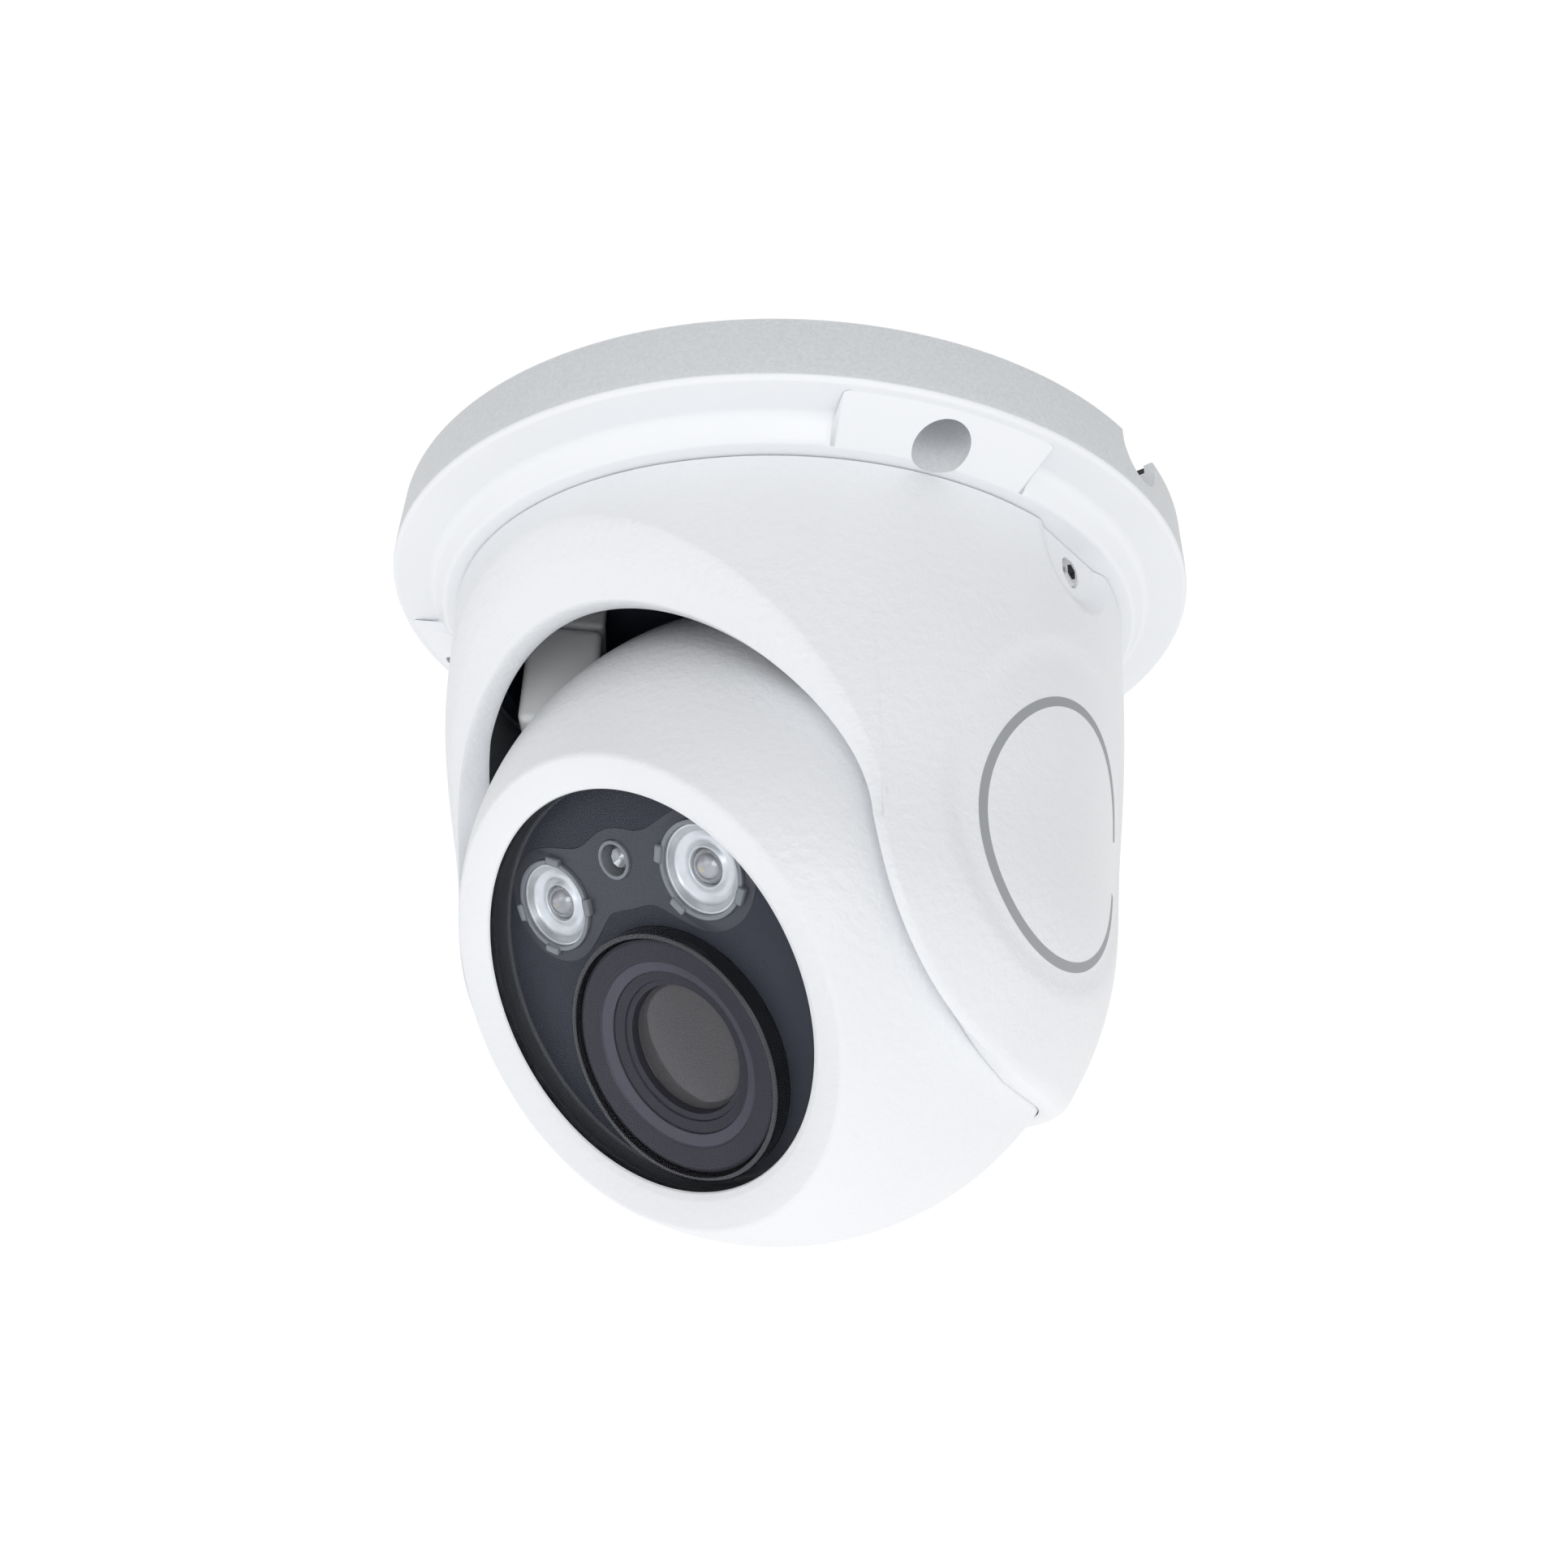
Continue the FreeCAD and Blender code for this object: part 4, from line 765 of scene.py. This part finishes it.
def ball_rear():
    """The rear half with three screw channels, each a closed column with a stepped hole."""
    body = lathe(rear_outline(), 224)
    column = lathe(rounded([(0, -38), (4.2, -38), (4.2, -5), (0, -5)]), 48)
    hole = lathe([(0, -60), (2.9, -60), (2.9, -6.6), (1.3, -6.6), (1.3, 1), (0, 1)], 48)
    inside = lathe(arc(0, 0, BALL_R - 0.6, -90, 90, 97), 128)
    for angle in BALL_SCREW_ANGLES:
        channel = spun(moved(column, Matrix.Translation((35.5, 0, 0))), angle)
        body = fused(body, boolean(channel, inside, "INTERSECT"))
    for angle in BALL_SCREW_ANGLES:
        body = cut(body, spun(moved(hole, Matrix.Translation((36.5, 0, 0))), angle))
    return body


piece("ball_face_half", lathe(front_outline(), 256), (PAINT,), "ball", ("ball_front",),
      AT_BALL)
piece("ball_back_half", ball_rear(), (PAINT,), "ball", ("ball_rear",), AT_BALL)
piece("gimbal_band", lathe(rounded([(40.5, -3.5), (44.35, -3.5, 0.15), (44.45, 0), (44.35, 3.5, 0.15),
                                    (40.5, 3.5)]), 224),
      (PAINT,), "gimbal", ("gimbal_ring",), AT_BALL)


# ---------------------------------------------------------------- window and face
WINDOW_R = 28
pane = lathe(rounded([(0, 29.3), (WINDOW_R, 29.3, 0.1), (WINDOW_R, 30.5, 0.1), (0, 30.5)]), 160)
piece("window_pane", pane, (GLASS,), "ball", ("front_window",), AT_BALL)

PANEL_Z = 26.5
LAMP_X, LAMP_Y, LAMP_R = 13.5, 12.8, 6.3
EYE_Y, EYE_R = 16.6, 2.6
SLEEVE_HOLE_R = 16.75
RECESS_BLEND = 9.0
BOARD_Z = 19.7


def opening(x, y, radius, segments=96):
    """The cutter of a round opening in the face."""
    cutter = lathe([(0, 20), (radius, 20), (radius, 40), (0, 40)], segments)
    return moved(cutter, Matrix.Translation((x, y, 0)))


def sleeve_opening():
    return opening(0, LENS_DROP, SLEEVE_HOLE_R, 128)


def small_openings():
    """Cutters of the openings for the two lamps and the light sensor."""
    return [opening(x, y, radius + 0.05)
            for x, y, radius in ((LAMP_X, LAMP_Y, LAMP_R), (-LAMP_X, LAMP_Y, LAMP_R), (0, EYE_Y, EYE_R))]


def face_panel():
    """The dark cup behind the window, with its openings."""
    cup = lathe(rounded([(0, 25), (WINDOW_R, 25), (WINDOW_R, 28.9), (27, 28.9, 0.2), (27, PANEL_Z, 0.6),
                         (0, PANEL_Z)]), 160)
    return cut(cup, sleeve_opening(), *small_openings())


piece("panel_cup", face_panel(), (PANEL, PANEL_EDGE), "ball", ("face_panel",), AT_BALL,
      second=lambda centre, normal: math.hypot(centre.x, centre.y) > 26.6)


def recess_distance(x, y):
    """Distance outside the lamp recess: two discs round the lamps and one round the sensor, blended."""
    spots = ((-LAMP_X, LAMP_Y, 7.9), (LAMP_X, LAMP_Y, 7.9), (0, EYE_Y - 0.9, 4.6))
    gaps = [np.hypot(x - sx, y - sy) - r for sx, sy, r in spots]
    nearest = gaps[0]
    for gap in gaps[1:]:
        near = np.clip(RECESS_BLEND - np.abs(nearest - gap), 0, None) / RECESS_BLEND
        nearest = np.minimum(nearest, gap) - near * near * RECESS_BLEND / 4
    return nearest


def lamp_recess():
    """A slightly lighter plate round the lamps and the sensor, cut to a rounded outline."""
    phi = np.linspace(0, 2 * math.pi, 360, endpoint=False)
    centre = np.array([0, 14.6])
    way = np.stack([np.cos(phi), np.sin(phi)], -1)
    reach = np.zeros(len(phi))
    for step in np.linspace(0, 24, 481):
        point = centre + way * step
        inside = recess_distance(point[:, 0], point[:, 1]) < 0
        reach = np.where(inside, step, reach)
    for _ in range(3):
        reach = (np.roll(reach, 1) + reach * 2 + np.roll(reach, -1)) / 4
    rows = []
    for share, rise in ((0, -0.2), (1, -0.2), (1, 0.06), (0.985, 0.12), (0, 0.12)):
        point = centre + way * (reach * share)[:, None]
        rows.append(np.concatenate([point, np.full((len(phi), 1), PANEL_Z + rise)], 1))
    plate = grid(np.array(rows), ring_rows=False)
    return cut(plate, *small_openings(), sleeve_opening())


piece("lamp_plate", lamp_recess(), (RECESS,), "ball", (), AT_BALL)


def at_lamps(mesh):
    """The same mesh at both lamps, the left one turned a little."""
    return joined(moved(mesh, Matrix.Translation((-LAMP_X, LAMP_Y, 0)) @ Matrix.Rotation(0.5, 4, "Z")),
                  moved(mesh, Matrix.Translation((LAMP_X, LAMP_Y, 0))))


dish = lathe(rounded([(2.4, 24.0), (5.6, 24.0), (5.6, 26.6), (5.35, 26.6, 0.1), (4.8, 25.6, 0.9),
                      (3.4, 25.1, 0.9), (2.6, 25.9, 0.3), (2.4, 25.7)]), 96)
piece("lamp_reflectors", at_lamps(dish), (SILVER,), "ball", ("lamp_lenses",), AT_BALL,
      sharp=60)
bulb = lathe([(0, 23.5), (2.35, 23.5), (2.35, 25.0)] + arc(0, 24.3, 2.45, 18, 90, 9), 64)
piece("lamp_bulbs", at_lamps(bulb), (CUP_GREY, EMITTER), "ball", (), AT_BALL, sharp=60,
      second=lambda centre, normal: math.hypot(abs(centre.x) - LAMP_X, centre.y - LAMP_Y) < 0.5)
dome = lathe(rounded([(0, BOARD_Z), (1.7, BOARD_Z), (1.7, 20.3), (1.4, 21.2, 0.5), (0, 21.7)]), 48)
piece("lamp_chips", at_lamps(dome), (EMITTER,), "ball", ("lamp_emitters",), AT_BALL)


def lamp_holder():
    """The ring round a lamp, with four lugs."""
    ring = lathe(rounded([(5.65, 19.6), (6.3, 19.6), (6.3, 27.1, 0.15), (5.65, 27.1, 0.15)]), 96)
    for angle in (35, 150, 215, 320):
        lug = spun(block((5.75, -1.2, 26.5), (6.9, 1.2, 27.5), 0.3, 3), angle)
        ring = fused(ring, lug)
    return ring


piece("lamp_rings", at_lamps(lamp_holder()), (HOLDER,), "ball", ("lamp_holders",), AT_BALL)

eye = lathe([(0, BOARD_Z), (1.95, BOARD_Z), (1.95, 24.9), (1.3, 25.9), (0.5, 25.4), (0, 25.9)], 9)
# Painted highlight: the sensor's facets that face up and to the right get the silver finish as painted glints, the
# others the grey one.
piece("eye_cell", moved(eye, Matrix.Translation((0, EYE_Y, 0))), (CUP_GREY, SILVER), "ball",
      ("light_sensor",), AT_BALL, second=lambda centre, normal: normal.x + normal.y > 0.75)
collar = lathe(rounded([(2.05, BOARD_Z), (2.6, BOARD_Z), (2.6, 27.0, 0.15), (2.05, 27.0, 0.15)]), 64)
piece("eye_collar", moved(collar, Matrix.Translation((0, EYE_Y, 0))), (HOLDER,), "ball",
      ("sensor_collar",), AT_BALL)

# ---------------------------------------------------------------- lens
sleeve = lathe(rounded([(15.9, BOARD_Z), (16.7, BOARD_Z), (16.7, 29.1, 0.25), (15.9, 29.1, 0.15)]), 192)
piece("lens_shroud", sleeve, (GLOSS_BLACK,), "ball", ("lens_sleeve",), AT_LENS)
hood = lathe(rounded([(9.8, -9), (11.5, -9), (11.5, 20.6), (15.6, 21.4), (15.6, 28.3, 0.2),
                      (15.1, 28.5, 0.2), (12.6, 28.0, 0.1), (12.4, 27.7, 0.1), (11.0, 27.2, 0.1),
                      (10.9, 26.9, 0.05), (9.6, 26.5, 0.1), (9.5, 26.2, 0.1), (8.75, 26.0, 0.1), (8.7, 25.4),
                      (8.7, 22.4), (9.8, 21.4)]), 192)
piece("lens_hood", hood, (LENS_DARK, LENS_LIGHT), "ball", ("lens_barrel",), AT_LENS,
      second=lambda centre, normal: 10.95 < math.hypot(centre.x, centre.y) < 12.5 and centre.z > 26.9)
ELEMENT_R, ELEMENT_CURVE_R = 8.55, 27.7
crown = arc(0, -1.5, ELEMENT_CURVE_R, math.degrees(math.acos(ELEMENT_R / ELEMENT_CURVE_R)), 90, 16)
element = lathe([(0, 22.6), (8.6, 22.6), (8.6, 24.9)] + crown, 160)
piece("front_glass", element, (COATED,), "ball", ("front_element",), AT_LENS)

# ---------------------------------------------------------------- floor, light and camera
scene = bpy.context.scene
scene.view_settings.view_transform = "Standard"


def floor():
    mesh = bpy.data.meshes.new("floor")
    work = bmesh.new()
    bmesh.ops.create_grid(work, x_segments=1, y_segments=1, size=30)
    work.to_mesh(mesh)
    work.free()
    obj = bpy.data.objects.new("floor", mesh)
    obj.location = (0, 0, -0.6)
    material, tree, shader = make_material("floor_finish")
    shader.inputs["Base Color"].default_value = (0.6, 0.6, 0.6, 1)
    shader.inputs["Roughness"].default_value = 0.9
    shader.inputs["Emission Color"].default_value = (1, 1, 1, 1)
    shader.inputs["Emission Strength"].default_value = 0.66
    mesh.materials.append(material)
    scene.collection.objects.link(obj)


def lamp(name, energy, size, place, aim, colour=(1, 1, 1)):
    light = bpy.data.lights.new(name, "AREA")
    light.energy = energy
    light.size = size
    light.color = colour
    obj = bpy.data.objects.new(name, light)
    obj.location = place
    obj.rotation_mode = "QUATERNION"
    obj.rotation_quaternion = (Vector(aim) - Vector(place)).to_track_quat("-Z", "Y")
    scene.collection.objects.link(obj)


floor()
lamp("key", 1.5, 0.5, (0.75, -0.65, -0.3), (0, 0, -0.05))
lamp("front", 0.7, 0.6, (0.1, -1.0, -0.05), (0, 0, -0.05))


def studio_world():
    """White in the part of the studio behind the object, and dimmer elsewhere."""
    studio = bpy.data.worlds.new("studio")
    studio.use_nodes = True
    tree = studio.node_tree
    coordinates = tree.nodes.new("ShaderNodeTexCoord")
    dot = tree.nodes.new("ShaderNodeVectorMath")
    dot.operation = "DOT_PRODUCT"
    dot.inputs[1].default_value = (-0.61, 0.70, 0.37)
    level = tree.nodes.new("ShaderNodeMapRange")
    for key, value in (("From Min", 0.2), ("From Max", 0.65), ("To Min", 0.42), ("To Max", 1.02)):
        level.inputs[key].default_value = value
    tree.links.new(coordinates.outputs["Generated"], dot.inputs[0])
    tree.links.new(dot.outputs["Value"], level.inputs["Value"])
    tree.links.new(level.outputs["Result"], tree.nodes["Background"].inputs["Strength"])
    tree.nodes["Background"].inputs["Color"].default_value = (1, 1, 1, 1)
    scene.world = studio


studio_world()

VIEW_AIM = Vector((0, 0, -50))
VIEW_DISTANCE, VIEW_ASIDE, VIEW_ABOVE = 173.61, 0.73, 15.26
VIEW_TURN, VIEW_LIFT, VIEW_ROLL = (math.radians(a) for a in (41.3, -21.86, 2.01))
back = Vector((math.sin(VIEW_TURN) * math.cos(VIEW_LIFT), -math.cos(VIEW_TURN) * math.cos(VIEW_LIFT),
               math.sin(VIEW_LIFT)))
level = Vector((math.cos(VIEW_TURN), math.sin(VIEW_TURN), 0))
upright = back.cross(level)
across = math.cos(VIEW_ROLL) * level + math.sin(VIEW_ROLL) * upright
upwards = -math.sin(VIEW_ROLL) * level + math.cos(VIEW_ROLL) * upright
camera = bpy.data.objects.new("camera", bpy.data.cameras.new("camera"))
camera.data.lens = 27.45
camera.data.sensor_width = 36
camera.data.clip_start = 0.01
camera.data.clip_end = 100
place = VIEW_AIM + back * VIEW_DISTANCE + across * VIEW_ASIDE + upwards * VIEW_ABOVE
view_axes = Matrix((across, upwards, back)).transposed().to_4x4()
camera.matrix_world = Matrix.Translation(place * METRE) @ view_axes
scene.collection.objects.link(camera)
scene.camera = camera

bpy.context.view_layer.update()
